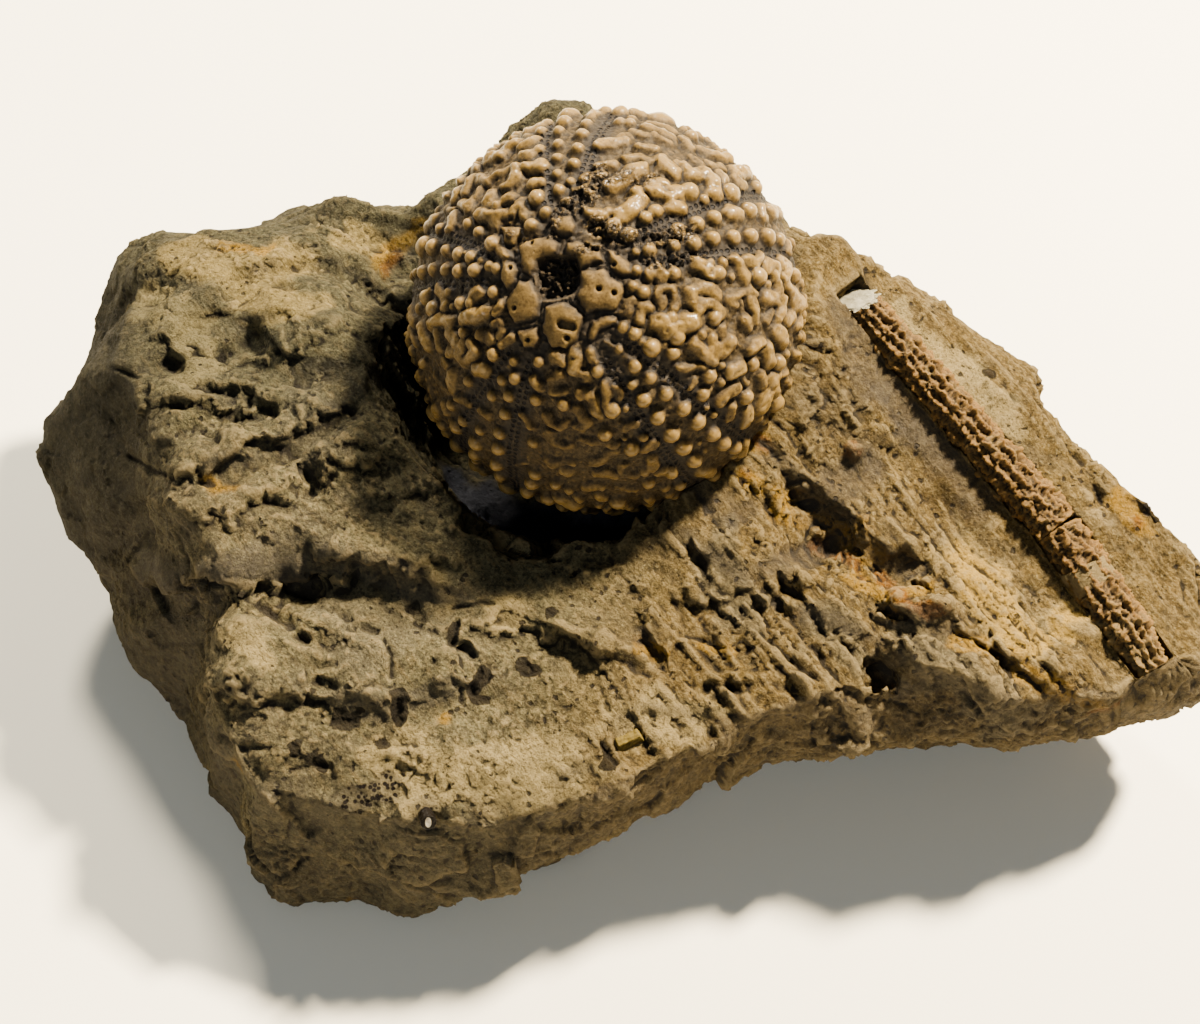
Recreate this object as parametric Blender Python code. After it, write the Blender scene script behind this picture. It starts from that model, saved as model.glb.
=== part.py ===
"""Fossil sea urchin on its block of limestone.

A domed sea-urchin test with rows of tubercles stands in a hollow of an irregular block of marly
limestone. A broken spine of a second, larger urchin lies along the block's right-hand slope in two
fragments, and two small fossil grains sit in the front edge. +Z is up, the block's flat underside
lies at z = 0, and the origin is under the middle of the whole specimen.
"""

import math

import bmesh
import bpy
import numpy as np
from mathutils import Matrix, Vector, noise

MM = 0.001
GAP = 0.35  # mm kept between a fossil and the stone around it

# ---- the sea urchin's test (mm) ----
TEST_CENTRE = Vector((0.4, 11.5, 26.0))
TEST_AXIS = Vector((-0.235, -0.47, 0.89)).normalized()
TEST_RADIUS = 13.5
TEST_DOME = 12.0
TEST_UNDERSIDE = 7.0
OPENING_RADIUS = 1.45
OPENING_DEPTH = 1.6
AMBULACRUM_AZIMUTH = 19.0  # degrees, of the first of the five
SECTOR = 72.0
KNOB_HEIGHT = 0.75  # the tallest; the seat in the stone is grown past it

# ---- the loose spine's two fragments (mm) ----
SPINE_TOP = Vector((17.6, 14.2, 25.2))
SPINE_BREAK = Vector((31.9, -1.4, 18.2))
SPINE_FOOT = Vector((38.2, -11.2, 15.4))
SPINE_RADII = (1.3, 1.8, 1.7)  # at the top, the break and the foot
SPINE_SIDES = 12
SPINE_THORN = 0.26
SPINE_CRACK = 0.5

# ---- the block's outline (mm) ----
# Each station: the widest point x, y, z, then how far in and how far up its top edge lies.
STATIONS = (
    (44.0, -8.0, 12.5, 1.5, 3.0),
    (43.0, -2.5, 15.0, 1.0, 2.0),
    (39.0, 0.5, 16.5, 1.0, 2.0),
    (33.0, 8.0, 18.0, 1.5, 2.5),
    (32.0, 11.0, 19.0, 2.0, 2.5),
    (28.5, 14.0, 19.5, 2.5, 3.0),
    (23.0, 18.0, 21.0, 3.0, 3.5),
    (15.0, 22.0, 22.0, 4.0, 4.5),
    (9.5, 27.0, 20.0, 5.0, 6.0),
    (3.0, 32.0, 20.0, 6.0, 6.5),
    (-0.5, 32.0, 23.5, 3.5, 4.0),
    (-4.0, 33.0, 23.5, 3.5, 4.0),
    (-6.5, 32.0, 22.0, 4.0, 4.5),
    (-9.5, 30.0, 20.5, 4.0, 4.5),
    (-12.5, 28.5, 19.5, 4.0, 4.5),
    (-17.5, 26.5, 18.5, 4.0, 4.0),
    (-21.5, 28.0, 18.0, 4.0, 4.5),
    (-24.0, 28.0, 17.0, 4.0, 4.0),
    (-27.5, 26.0, 17.0, 4.0, 4.0),
    (-36.0, 25.5, 16.5, 6.0, 5.0),
    (-38.5, 22.5, 14.0, 5.5, 6.5),
    (-39.5, 18.0, 12.5, 5.5, 8.0),
    (-42.0, 11.5, 13.0, 6.5, 7.5),
    (-42.0, 8.5, 11.0, 9.0, 10.5),
    (-40.5, 4.5, 10.0, 8.5, 11.0),
    (-37.0, -0.5, 7.5, 6.0, 12.0),
    (-35.0, -6.0, 5.5, 6.5, 12.5),
    (-30.5, -9.0, 4.0, 3.5, 12.0),
    (-28.5, -15.5, 3.5, 2.5, 11.0),
    (-25.5, -18.5, 2.5, 1.5, 11.0),
    (-25.5, -21.5, 2.0, 3.0, 11.0),
    (-22.0, -23.0, 2.0, 3.5, 11.0),
    (-17.0, -22.5, 3.0, 1.5, 10.5),
    (-14.0, -24.5, 2.5, 2.5, 11.5),
    (-11.5, -24.0, 4.5, 1.5, 9.5),
    (-6.5, -23.5, 7.0, 1.0, 7.5),
    (0.0, -21.0, 8.5, 0.5, 7.0),
    (6.5, -17.5, 10.5, 0.0, 5.5),
    (12.0, -15.5, 12.0, 0.5, 5.0),
    (19.5, -15.5, 11.5, 3.0, 5.5),
    (25.0, -14.5, 11.5, 3.5, 5.5),
    (29.5, -15.0, 11.5, 1.0, 5.0),
    (32.0, -14.0, 12.5, 1.0, 4.0),
    (35.5, -14.0, 12.0, 1.0, 4.0),
    (39.0, -12.5, 12.5, 1.0, 3.0),
    (43.0, -11.0, 12.0, 1.5, 3.5),
)
BLOCK_CENTRE = (0.0, 8.0)
UNDERCUT = 1.15  # how far the underside draws in, per mm of height
UNDERCUT_FRONT = 0.36  # the most it draws in, as a share of the distance from the block's middle
UNDERCUT_BACK = 0.17
UNDER_BULGE = 1.9  # above 1 the flanks stay wide lower down

# Broken unevenness: the size of its lumps, and how far they stand out.
COARSE_LUMPS = (7.0, 1.0)
FINE_LUMPS = (2.6, 0.5)
FLANK_LUMPS = (13.0, 3.4)
NOISE_START = Vector((7.3, 3.1, 5.7))

# ---- the relief of the block's top: points it passes through (mm) ----
RELIEF = (
    # left plateau
    (-30.5, 13.0, 22.0), (-25.5, 16.0, 23.0), (-20.5, 16.0, 23.5), (-18.0, 12.0, 23.5),
    (-28.0, 5.0, 22.5), (-22.0, 6.0, 22.5), (-17.5, 4.5, 23.0), (-29.0, -1.0, 21.5),
    (-23.5, -1.0, 21.0), (-18.0, 0.5, 22.0), (-13.5, 0.0, 20.5),
    # terrace at the front left
    (-27.0, -5.5, 19.0), (-21.0, -4.5, 18.5), (-15.0, -4.0, 19.5), (-25.5, -10.0, 17.5),
    (-20.5, -10.5, 17.0), (-15.0, -10.0, 17.5), (-25.0, -15.0, 15.5), (-20.5, -16.0, 15.5),
    (-13.5, -15.5, 16.0), (-18.5, -19.5, 14.0), (-11.5, -20.0, 15.0),
    # front slope
    (-9.0, -10.5, 18.0), (-2.5, -7.5, 19.0), (-2.5, -13.0, 17.5), (-2.5, -18.5, 16.0),
    (3.5, -7.5, 19.0), (3.5, -14.5, 17.0), (10.5, -5.0, 19.5), (10.5, -10.5, 18.0),
    (11.0, -14.0, 17.0),
    # right slope, on both sides of the spine
    (9.5, 0.0, 21.0), (13.0, 3.0, 22.5), (15.0, 8.5, 25.0), (15.0, 13.5, 26.5),
    (16.0, 0.0, 20.0), (18.5, 5.0, 22.0), (21.0, -1.5, 19.0), (18.5, -7.0, 18.0),
    (24.5, 2.0, 19.5), (27.0, -4.0, 17.5), (31.5, -9.5, 16.5), (35.5, -12.0, 15.5),
    (21.0, 14.5, 24.5), (26.0, 10.5, 22.5), (30.0, 6.0, 21.0), (34.5, 2.0, 19.0),
    (37.5, -2.5, 17.5), (40.0, -7.0, 16.0), (31.0, 1.0, 18.5), (35.5, -5.5, 17.0),
    # broken lump at the lower right, and the recess beside it
    (24.0, -10.5, 18.0), (27.0, -13.0, 17.5), (21.5, -9.0, 18.5), (17.0, -10.5, 17.5),
    # valley and hump behind the plateau
    (-17.0, 20.5, 20.5), (-22.5, 22.5, 21.5), (-15.0, 19.0, 19.5), (-12.5, 22.5, 23.0),
    (-9.0, 24.0, 24.5), (3.5, 24.0, 25.5), (-3.0, 27.5, 27.0),
    # seat under the urchin
    (0.0, 11.5, 23.0), (6.0, 8.0, 22.0), (-4.0, 18.0, 23.0), (6.0, 18.0, 26.0),
)

# The hollow under the urchin's left and front sides: middle, wall radius, floor, wall slope.
MOAT_CENTRE = (-1.1, 10.6)
MOAT_RADIUS = 11.2
MOAT_FLOOR = 12.6
MOAT_WALL = 2.6
MOAT_FACING = (-0.72, -0.69)  # the moat closes on the opposite side
MOAT_CLOSING = 9.0  # by how much the wall's radius shrinks there

# Ledges: a step along a line from one point to the next; height of the step, width it fades over.
LEDGES = (
    (((-28.5, -6.6), (-23.0, -4.2), (-17.5, -4.4), (-12.0, -6.6)), 1.5, 3.2),
    (((-27.0, 1.0), (-21.5, 3.6), (-17.0, 7.0)), 1.1, 2.6),
    (((-29.5, 4.5), (-24.0, 8.4), (-19.5, 9.0)), 1.0, 2.4),
    (((-31.0, 11.5), (-26.5, 17.8), (-19.0, 19.4), (-15.6, 17.4)), 1.5, 2.8),
    (((-25.8, -13.2), (-19.5, -12.8), (-15.8, -15.0), (-8.6, -13.0)), 0.9, 2.4),
    (((7.8, -4.6), (12.0, -7.8), (17.5, -9.2)), 1.0, 2.4),
    (((14.2, 0.8), (19.2, -3.6), (25.6, -7.6), (31.6, -12.0)), 1.1, 2.4),
    (((20.0, -9.4), (20.2, -12.6), (24.0, -15.4)), 2.2, 2.0),
    (((21.4, -8.4), (26.0, -9.8), (31.0, -13.4)), 1.2, 1.8),
    (((-1.5, -19.2), (2.6, -15.0), (9.0, -15.6)), 0.7, 2.0),
)

# Pits and hollows: x, y, radius, depth.
PITS = (
    (-25.3, 10.8, 2.6, 1.6), (-27.0, 6.0, 1.8, 0.9), (-20.2, 0.6, 1.4, 1.6), (-24.4, 5.0, 1.6, 0.8),
    (-22.0, -6.2, 2.4, 1.4), (-18.9, -11.6, 1.2, 0.9), (-8.8, -12.0, 0.9, 1.1), (19.6, -12.6, 1.7, 2.2),
    (15.4, -3.0, 2.2, 1.5), (21.6, 3.6, 1.2, 0.9), (12.2, -6.8, 1.5, 1.0), (22.2, -5.6, 1.6, 1.0),
    (3.2, -10.8, 1.3, 0.8), (-33.2, 17.6, 1.8, 1.2), (-21.6, 19.4, 1.4, 1.2),
)
LUMPS = (
    (23.2, -8.0, 1.3, 1.5), (19.2, 3.9, 0.9, 0.8), (38.6, 0.0, 0.9, 0.7), (-25.6, -8.6, 2.6, 0.8),
    (-9.4, 2.4, 1.4, 0.9), (-15.0, 13.6, 1.4, 1.0), (34.0, -8.6, 1.5, 0.6), (-13.8, -23.0, 1.4, 0.9),
)

# ---- two small fossils in the block's front edge (mm) ----
OSSICLE_SPOT = (-11.6, -21.9)
OSSICLE_RADIUS, OSSICLE_LENGTH = 0.55, 1.3
CHIP_SPOT = (1.9, -17.0)
CHIP_SIZE = Vector((2.0, 0.9, 0.8))
STANDS_OUT = 0.12  # how far a grain's middle lies above the stone around it

# ---- mesh density ----
BLOCK_SEGMENTS, BLOCK_RINGS = 192, 76
TOP_RINGS, SIDE_RINGS, UNDER_RINGS = 40, 8, 10
BLOCK_KEPT = 0.115  # share of the block's faces kept when it is simplified
TEST_SEGMENTS = 240
TEST_KEPT = 0.085  # the same for the test
SMOOTH_BELOW = 40.0  # degrees between faces, on the pieces that are shaded round


def collection(name, hidden=False):
    made = bpy.data.collections.new(name)
    made.hide_render = hidden
    bpy.context.scene.collection.children.link(made)
    return made


def new_object(name, bm, home):
    """Turns a bmesh in millimetres into an object in metres."""
    bmesh.ops.scale(bm, vec=(MM, MM, MM), verts=bm.verts)
    mesh = bpy.data.meshes.new(name)
    bm.to_mesh(mesh)
    bm.free()
    made = bpy.data.objects.new(name, mesh)
    home.objects.link(made)
    return made


def material(name, colour, roughness):
    made = bpy.data.materials.new(name)
    made.use_nodes = True
    surface = made.node_tree.nodes["Principled BSDF"]
    surface.inputs["Base Color"].default_value = (*colour, 1.0)
    surface.inputs["Roughness"].default_value = roughness
    surface.inputs["Metallic"].default_value = 0.0
    return made


def shade_round(obj):
    obj.data.shade_smooth()
    obj.data.set_sharp_from_angle(angle=math.radians(SMOOTH_BELOW))


def bake_modifiers(obj):
    """Replaces the object's mesh with its evaluated one and drops its modifiers."""
    graph = bpy.context.evaluated_depsgraph_get()
    mesh = bpy.data.meshes.new_from_object(obj.evaluated_get(graph))
    obj.modifiers.clear()
    old = obj.data
    obj.data = mesh
    bpy.data.meshes.remove(old)


def cut_away(obj, tool):
    cut = obj.modifiers.new(tool.name, "BOOLEAN")
    cut.operation = "DIFFERENCE"
    cut.solver = "EXACT"
    cut.object = tool


# ---------------------------------------------------------------- the block


def station_columns():
    """The outline as arrays: top edge, widest line and foot, one row for each station."""
    centre = np.array(BLOCK_CENTRE)
    table = np.array(STATIONS)
    out = table[:, :2] - centre
    reach = np.linalg.norm(out, axis=1, keepdims=True)
    rim = np.column_stack([centre + out * (1 - table[:, 3:4] / reach), table[:, 2] + table[:, 4]])
    behind = smoothstep(0.0, 0.7, out[:, 1:] / reach)
    most = UNDERCUT_FRONT + behind * (UNDERCUT_BACK - UNDERCUT_FRONT)
    drawn_in = np.minimum(UNDERCUT * table[:, 2:3] / reach, most)
    foot = np.column_stack([centre + out * (1 - drawn_in), np.zeros(len(table))])
    return rim, table[:, :3], foot, np.arctan2(out[:, 1], out[:, 0])


def around(values, angles, angle):
    """The outline's points, which lie at the given angles, read at any other angle round the block."""
    turned = np.unwrap(angles)
    at = turned[0] + (angle - turned[0]) % (2 * math.pi)
    ends = np.append(turned, turned[0] + 2 * math.pi)
    return np.column_stack([np.interp(at, ends, np.append(v, v[0])) for v in values.T])


def thin_plate(points):
    """A smooth sheet through scattered (x, y, z) points, as a function of x and y."""

    def kernel(a, b):
        r2 = ((a[:, None, :] - b[None, :, :]) ** 2).sum(2)
        return 0.5 * r2 * np.log(r2 + 1e-9)

    xy, z = points[:, :2], points[:, 2]
    count = len(points)
    flat = np.column_stack([np.ones(count), xy])
    system = np.block([[kernel(xy, xy) + 0.4 * np.eye(count), flat], [flat.T, np.zeros((3, 3))]])
    weights = np.linalg.solve(system, np.append(z, np.zeros(3)))

    def sheet(at):
        return kernel(at, xy) @ weights[:count] + np.column_stack([np.ones(len(at)), at]) @ weights[count:]

    return sheet


def smoothstep(low, high, value):
    t = np.clip((value - low) / (high - low), 0, 1)
    return t * t * (3 - 2 * t)


def ledge_rise(at, line, height, fade):
    """A step across a line: up on its left-hand side, down on its right, fading away from it."""
    nearest = np.full(len(at), 1e9)
    side = np.zeros(len(at))
    for start, end in zip(line, line[1:]):
        a, along = np.array(start), np.array(end) - np.array(start)
        share = np.clip(((at - a) @ along) / (along @ along), 0, 1)
        apart = at - (a + share[:, None] * along)
        distance = np.linalg.norm(apart, axis=1)
        turned = along[0] * apart[:, 1] - along[1] * apart[:, 0]
        closer = distance < nearest
        nearest[closer] = distance[closer]
        side[closer] = np.sign(turned[closer])
    return 0.5 * height * side * smoothstep(0.0, 0.5, nearest) * np.exp(-((nearest / fade) ** 2))


def moat_height(at):
    """The hollow's floor and steep wall; it is open only on its facing side."""
    out = at - np.array(MOAT_CENTRE)
    reach = np.linalg.norm(out, axis=1)
    facing = (out @ np.array(MOAT_FACING)) / np.maximum(reach, 1e-6)
    radius = MOAT_RADIUS - MOAT_CLOSING * (1 - smoothstep(-0.35, 0.25, facing))
    return MOAT_FLOOR + MOAT_WALL * np.maximum(0, reach - radius)


def rough(points, size, rise):
    """Broken unevenness at every point, about zero: lumps of this size, standing out this far."""
    return np.array([rise * noise.fractal(Vector(p) / size + NOISE_START, 0.9, 2.1, 3) for p in points])


def block_top(at, sheet):
    height = sheet(at)
    for line, rise, fade in LEDGES:
        height += ledge_rise(at, line, rise, fade)
    for x, y, radius, depth in PITS:
        height -= depth * np.exp(-((np.hypot(at[:, 0] - x, at[:, 1] - y) / radius) ** 4))
    for x, y, radius, rise in LUMPS:
        height += rise * np.exp(-((np.hypot(at[:, 0] - x, at[:, 1] - y) / radius) ** 2))
    return np.minimum(height, moat_height(at))


def make_block(home):
    """A sphere's rings laid over the block: top sheet, upper side, undercut and flat underside."""
    bm = bmesh.new()
    bmesh.ops.create_uvsphere(bm, u_segments=BLOCK_SEGMENTS, v_segments=BLOCK_RINGS, radius=1.0)
    start = np.array([v.co for v in bm.verts])
    angle = np.arctan2(start[:, 1], start[:, 0])
    ring = np.arccos(np.clip(start[:, 2], -1, 1)) / math.pi * BLOCK_RINGS

    rim, girth, foot, angles = station_columns()
    centre = np.array(BLOCK_CENTRE)
    sheet = thin_plate(np.vstack([rim, np.array(RELIEF)]))
    rim, girth, foot = (around(column, angles, angle) for column in (rim, girth, foot))

    side_end = TOP_RINGS + SIDE_RINGS
    under_end = side_end + UNDER_RINGS
    place = np.empty_like(start)
    top = ring <= TOP_RINGS + 0.01
    share = (ring / TOP_RINGS)[:, None]
    place[:, :2] = centre + share * (rim[:, :2] - centre)
    place[top, 2] = block_top(place[top, :2], sheet)
    side = ~top & (ring <= side_end + 0.01)
    t = ((ring - TOP_RINGS) / SIDE_RINGS)[:, None]
    place[side] = (rim + t * (girth - rim))[side]
    under = ~top & ~side & (ring <= under_end + 0.01)
    t = np.clip((ring - side_end) / UNDER_RINGS, 0, 1)[:, None]
    across = t**UNDER_BULGE
    place[under] = (girth + np.hstack([across, across, t]) * (foot - girth))[under]
    base = ring > under_end + 0.01
    inward = ((BLOCK_RINGS - ring) / (BLOCK_RINGS - under_end))[:, None]
    place[base, :2] = (centre + inward * (foot[:, :2] - centre))[base]
    place[base, 2] = 0.0

    flank = np.where(under, np.sin(math.pi * t[:, 0]), 0.0)
    push = rough(place, *COARSE_LUMPS) + rough(place, *FINE_LUMPS) + flank * rough(place, *FLANK_LUMPS)
    above = smoothstep(0.0, 3.0, place[:, 2])
    outward = place - np.array([*BLOCK_CENTRE, 12.0])
    outward[top] = (0, 0, 1)
    outward /= np.maximum(np.linalg.norm(outward, axis=1, keepdims=True), 1e-6)
    strength = np.where(top, 0.55, 0.8) * above
    place += outward * (push * strength)[:, None]
    for vert, point in zip(bm.verts, place):
        vert.co = point
    block = new_object("limestone_block", bm, home)
    simplify = block.modifiers.new("Simplify", "DECIMATE")
    simplify.ratio = BLOCK_KEPT
    bake_modifiers(block)
    return block


# ---------------------------------------------------------------- the urchin


def test_frame():
    """The test's own axes as a matrix: x to the right, z along the axis through its apex."""
    across = (Vector((1, 0, 0)) - TEST_AXIS * TEST_AXIS.x).normalized()
    frame = Matrix((across, TEST_AXIS.cross(across), TEST_AXIS)).transposed().to_4x4()
    return Matrix.Translation(TEST_CENTRE) @ frame


def test_shape(direction, grown=0.0):
    """The test's surface in its own axes: domed above, flatter and slightly drawn in below."""
    depth = TEST_DOME if direction.z > 0 else TEST_UNDERSIDE
    wide = TEST_RADIUS + grown
    return Vector((direction.x * wide, direction.y * wide, direction.z * (depth + grown)))


def on_test(polar, azimuth):
    """Place and outward direction on the test, from degrees off the apex and degrees round it."""
    p, a = math.radians(polar), math.radians(azimuth)
    direction = Vector((math.sin(p) * math.cos(a), math.sin(p) * math.sin(a), math.cos(p)))
    place = test_shape(direction)
    depth = TEST_DOME if direction.z > 0 else TEST_UNDERSIDE
    outward = Vector((place.x / TEST_RADIUS**2, place.y / TEST_RADIUS**2, place.z / depth**2))
    return place, outward.normalized()


def knob(polar, azimuth, radius, height, length=0.0, turn=0.0):
    """A knob or short ridge on the test: its two ends in the test's axes, its radius and height."""
    place, outward = on_test(polar, azimuth)
    downhill = on_test(polar + 1, azimuth)[0] - place
    downhill = (downhill - outward * downhill.dot(outward)).normalized()
    along = Matrix.Rotation(math.radians(turn), 3, outward) @ downhill * (length / 2)
    return (*(place - along), *(place + along), radius, height)


def apical_disc():
    """Five genital plates round the opening, with five ocular plates between their outer ends."""
    plates = []
    for k in range(5):
        plates.append(knob(12.6, AMBULACRUM_AZIMUTH + SECTOR * (k + 0.5), 1.75, 0.6, 0.9, 90))
        plates.append(knob(19.0, AMBULACRUM_AZIMUTH + SECTOR * k, 0.95, 0.5))
    return plates


def tubercle_columns():
    """Two close columns of tubercles down each ambulacrum and a stronger one along each side of it."""
    knobs = []
    for k in range(5):
        middle = AMBULACRUM_AZIMUTH + SECTOR * k
        for side in (-1, 1):
            for row in range(11):
                polar = 26.0 + 6.6 * row + 3.3 * (side > 0)
                apart = side * 0.95 / (TEST_RADIUS * math.sin(math.radians(polar)))
                knobs.append(knob(polar, middle + math.degrees(apart), 0.78 + 0.02 * row, 0.6))
            for row in range(9):
                polar = 29.0 + 8.0 * row
                apart = side * (2.7 + 0.1 * row) / (TEST_RADIUS * math.sin(math.radians(polar)))
                size = 0.9 + 0.03 * row
                knobs.append(knob(polar, middle + math.degrees(apart), size, KNOB_HEIGHT))
    return knobs


def glyph_ridges():
    """The worm-like ridges that fill the broad plates between the ambulacra."""
    ridges = []
    for k in range(5):
        between = AMBULACRUM_AZIMUTH + SECTOR * (k + 0.5)
        for row in range(9):
            polar = 23.5 + 8.4 * row
            spread = 3.0 + 13.0 * smoothstep(20, 80, polar)
            for side in (-1, 1):
                wobble = noise.noise(Vector((k * 3.7 + 0.5, row * 1.9 + 0.3, side * 2.3)))
                ridges.append(knob(
                    polar + 2.0 * side, between + side * 0.55 * spread, 0.85, 0.7,
                    length=1.5 + 1.6 * wobble, turn=60 * side + 100 * wobble,
                ))
    return ridges


def knob_rise(points, knobs):
    """How far each point of the test is lifted: the highest knob that covers it."""
    rise = np.zeros(len(points))
    for *ends, radius, height in knobs:
        start, end = np.array(ends[:3]), np.array(ends[3:])
        along = end - start
        share = np.clip(((points - start) @ along) / max(along @ along, 1e-9), 0, 1)
        apart = np.linalg.norm(points - (start + share[:, None] * along), axis=1) / radius
        rise = np.maximum(rise, height * (1 - smoothstep(0.25, 1.0, apart)))
    return rise


def make_test(home):
    bm = bmesh.new()
    bmesh.ops.create_uvsphere(bm, u_segments=TEST_SEGMENTS, v_segments=TEST_SEGMENTS // 2, radius=1.0)
    points = np.array([test_shape(vert.co) for vert in bm.verts])
    knobs = apical_disc() + tubercle_columns() + glyph_ridges()
    rise = knob_rise(points, knobs) * smoothstep(-5.0, -3.0, points[:, 2])
    off_axis = np.hypot(points[:, 0], points[:, 1])
    rise -= OPENING_DEPTH * (1 - smoothstep(OPENING_RADIUS - 0.35, OPENING_RADIUS + 0.15, off_axis)) * (
        points[:, 2] > 0
    )
    outward = points / np.array([TEST_RADIUS**2, TEST_RADIUS**2, TEST_DOME**2])
    outward /= np.linalg.norm(outward, axis=1, keepdims=True)
    for vert, point in zip(bm.verts, points + outward * rise[:, None]):
        vert.co = point
    bmesh.ops.transform(bm, matrix=test_frame(), verts=bm.verts)
    test = new_object("urchin_test", bm, home)
    simplify = test.modifiers.new("Simplify", "DECIMATE")
    simplify.ratio = TEST_KEPT
    bake_modifiers(test)
    return test


def cut_seat(block, tools):
    """The urchin's seat in the block: its own shape, grown past the tubercles."""
    bm = bmesh.new()
    bmesh.ops.create_icosphere(bm, subdivisions=4, radius=1.0)
    for vert in bm.verts:
        vert.co = test_shape(vert.co, grown=KNOB_HEIGHT + GAP)
    bmesh.ops.transform(bm, matrix=test_frame(), verts=bm.verts)
    cut_away(block, new_object("urchin_seat", bm, tools))


# ---------------------------------------------------------------- the spine


def tapered_rod(bm, start, end, radii, rings, thorn, grown=0.0):
    """A rod from start to end whose alternate points stand out as lengthwise rows of thorns."""
    run = end - start
    turn = run.to_track_quat("Z", "Y").to_matrix().to_4x4()
    made = bmesh.ops.create_cone(
        bm, cap_ends=True, segments=SPINE_SIDES, radius1=1.0, radius2=1.0, depth=1.0,
    )["verts"]
    edges = {e for v in made for e in v.link_edges if abs(e.verts[0].co.z - e.verts[1].co.z) > 0.5}
    bmesh.ops.subdivide_edges(bm, edges=list(edges), cuts=rings)
    half = math.pi / SPINE_SIDES
    verts = [v for v in bm.verts if v.is_valid]
    for vert in verts:
        share = vert.co.z + 0.5
        side = round(math.atan2(vert.co.y, vert.co.x) / (2 * half))
        ring = round(share * (rings + 1))
        stands_out = thorn if (side % 2 == 0 and ring % 2 == 1) else 0.0
        radius = radii[0] + share * (radii[1] - radii[0]) + stands_out + grown
        along = (run.length + 2 * grown) * share - grown
        vert.co = Vector((vert.co.x * radius, vert.co.y * radius, along))
    bmesh.ops.transform(bm, matrix=Matrix.Translation(start) @ turn, verts=verts)


def make_spine(home, tools, block):
    """The two fragments, each with the trench that it lies in."""
    crack = (SPINE_FOOT - SPINE_BREAK).normalized() * SPINE_CRACK
    fragments = (
        ("spine_upper_fragment", SPINE_TOP, SPINE_BREAK, SPINE_RADII[:2], 25),
        ("spine_lower_fragment", SPINE_BREAK + crack, SPINE_FOOT, SPINE_RADII[1:], 11),
    )
    made = []
    for name, start, end, radii, rings in fragments:
        bm = bmesh.new()
        tapered_rod(bm, start, end, radii, rings, thorn=SPINE_THORN)
        made.append(new_object(name, bm, home))
        bm = bmesh.new()
        tapered_rod(bm, start, end, radii, 0, thorn=0.0, grown=SPINE_THORN + 0.3)
        cut_away(block, new_object(name + "_trench", bm, tools))
    return made


# ---------------------------------------------------------------- the small fossils


def ossicle_mesh(middle, grown=0.0):
    """A short stem segment of a sea lily: a ten-sided disc leaning on its edge."""
    bm = bmesh.new()
    lean = Matrix.Rotation(math.radians(55), 4, "X") @ Matrix.Rotation(math.radians(14), 4, "Y")
    bmesh.ops.create_cone(
        bm, cap_ends=True, segments=10, radius1=OSSICLE_RADIUS + grown, radius2=OSSICLE_RADIUS + grown,
        depth=OSSICLE_LENGTH + 2 * grown, matrix=Matrix.Translation(middle) @ lean,
    )
    return bm


def chip_mesh(middle, grown=0.0):
    """A splinter of calcite: a small block that narrows upwards."""
    bm = bmesh.new()
    size = CHIP_SIZE + Vector((2 * grown, 2 * grown, 2 * grown))
    lean = Matrix.Rotation(math.radians(24), 4, "Z") @ Matrix.Rotation(math.radians(-8), 4, "Y")
    bmesh.ops.create_cube(bm, size=1.0)
    for vert in bm.verts:
        if vert.co.z > 0:
            vert.co.x *= 0.82
            vert.co.y *= 0.7
    bmesh.ops.transform(
        bm, matrix=Matrix.Translation(middle) @ lean @ Matrix.Diagonal((*size, 1)), verts=bm.verts
    )
    return bm


def surface_at(block, x, y):
    """The point of the block's upper surface at x and y, in millimetres."""
    above = Vector((x * MM, y * MM, 0.1))
    return block.ray_cast(above, Vector((0, 0, -1)))[1] / MM


def make_grains(home, tools, block):
    made = []
    grains = (("sea_lily_ossicle", ossicle_mesh, OSSICLE_SPOT), ("calcite_chip", chip_mesh, CHIP_SPOT))
    for name, build, spot in grains:
        middle = surface_at(block, *spot) + Vector((0, 0, STANDS_OUT))
        made.append(new_object(name, build(middle), home))
        cut_away(block, new_object(name + "_socket", build(middle, GAP), tools))
    return made


# ---------------------------------------------------------------- the specimen


def stand_over_origin(pieces, tools):
    """Hangs everything on an empty that brings the middle of the whole specimen's box over the origin."""
    outline = np.array([vert.co for piece in pieces for vert in piece.data.vertices])
    middle = (outline.min(axis=0) + outline.max(axis=0)) / 2
    anchor = bpy.data.objects.new("specimen_middle", None)
    anchor.location = (-middle[0], -middle[1], 0.0)
    bpy.context.scene.collection.objects.link(anchor)
    for obj in [*pieces, *tools]:
        obj.parent = anchor


def main():
    for obj in list(bpy.data.objects):
        bpy.data.objects.remove(obj)
    home = collection("fossil_sea_urchin")
    tools = collection("cutters", hidden=True)

    block = make_block(home)
    test = make_test(home)
    cut_seat(block, tools)
    spine = make_spine(home, tools, block)
    ossicle, chip = make_grains(home, tools, block)
    stand_over_origin(home.objects, tools.objects)
    for tool in tools.objects:
        tool.hide_render = True
        tool.display_type = "WIRE"

    stone = material("limestone", (0.33, 0.29, 0.21), 0.92)
    shell = material("fossil_test", (0.42, 0.33, 0.23), 0.5)
    thorny = material("fossil_spine", (0.27, 0.18, 0.11), 0.6)
    pale = material("pale_calcite", (0.62, 0.57, 0.46), 0.4)
    finishes = [(block, stone), (test, shell), (ossicle, pale), (chip, pale)]
    finishes += [(fragment, thorny) for fragment in spine]
    for obj, finish in finishes:
        obj.data.materials.clear()
        obj.data.materials.append(finish)
    for obj in (test, *spine, ossicle):
        shade_round(obj)


main()
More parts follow.
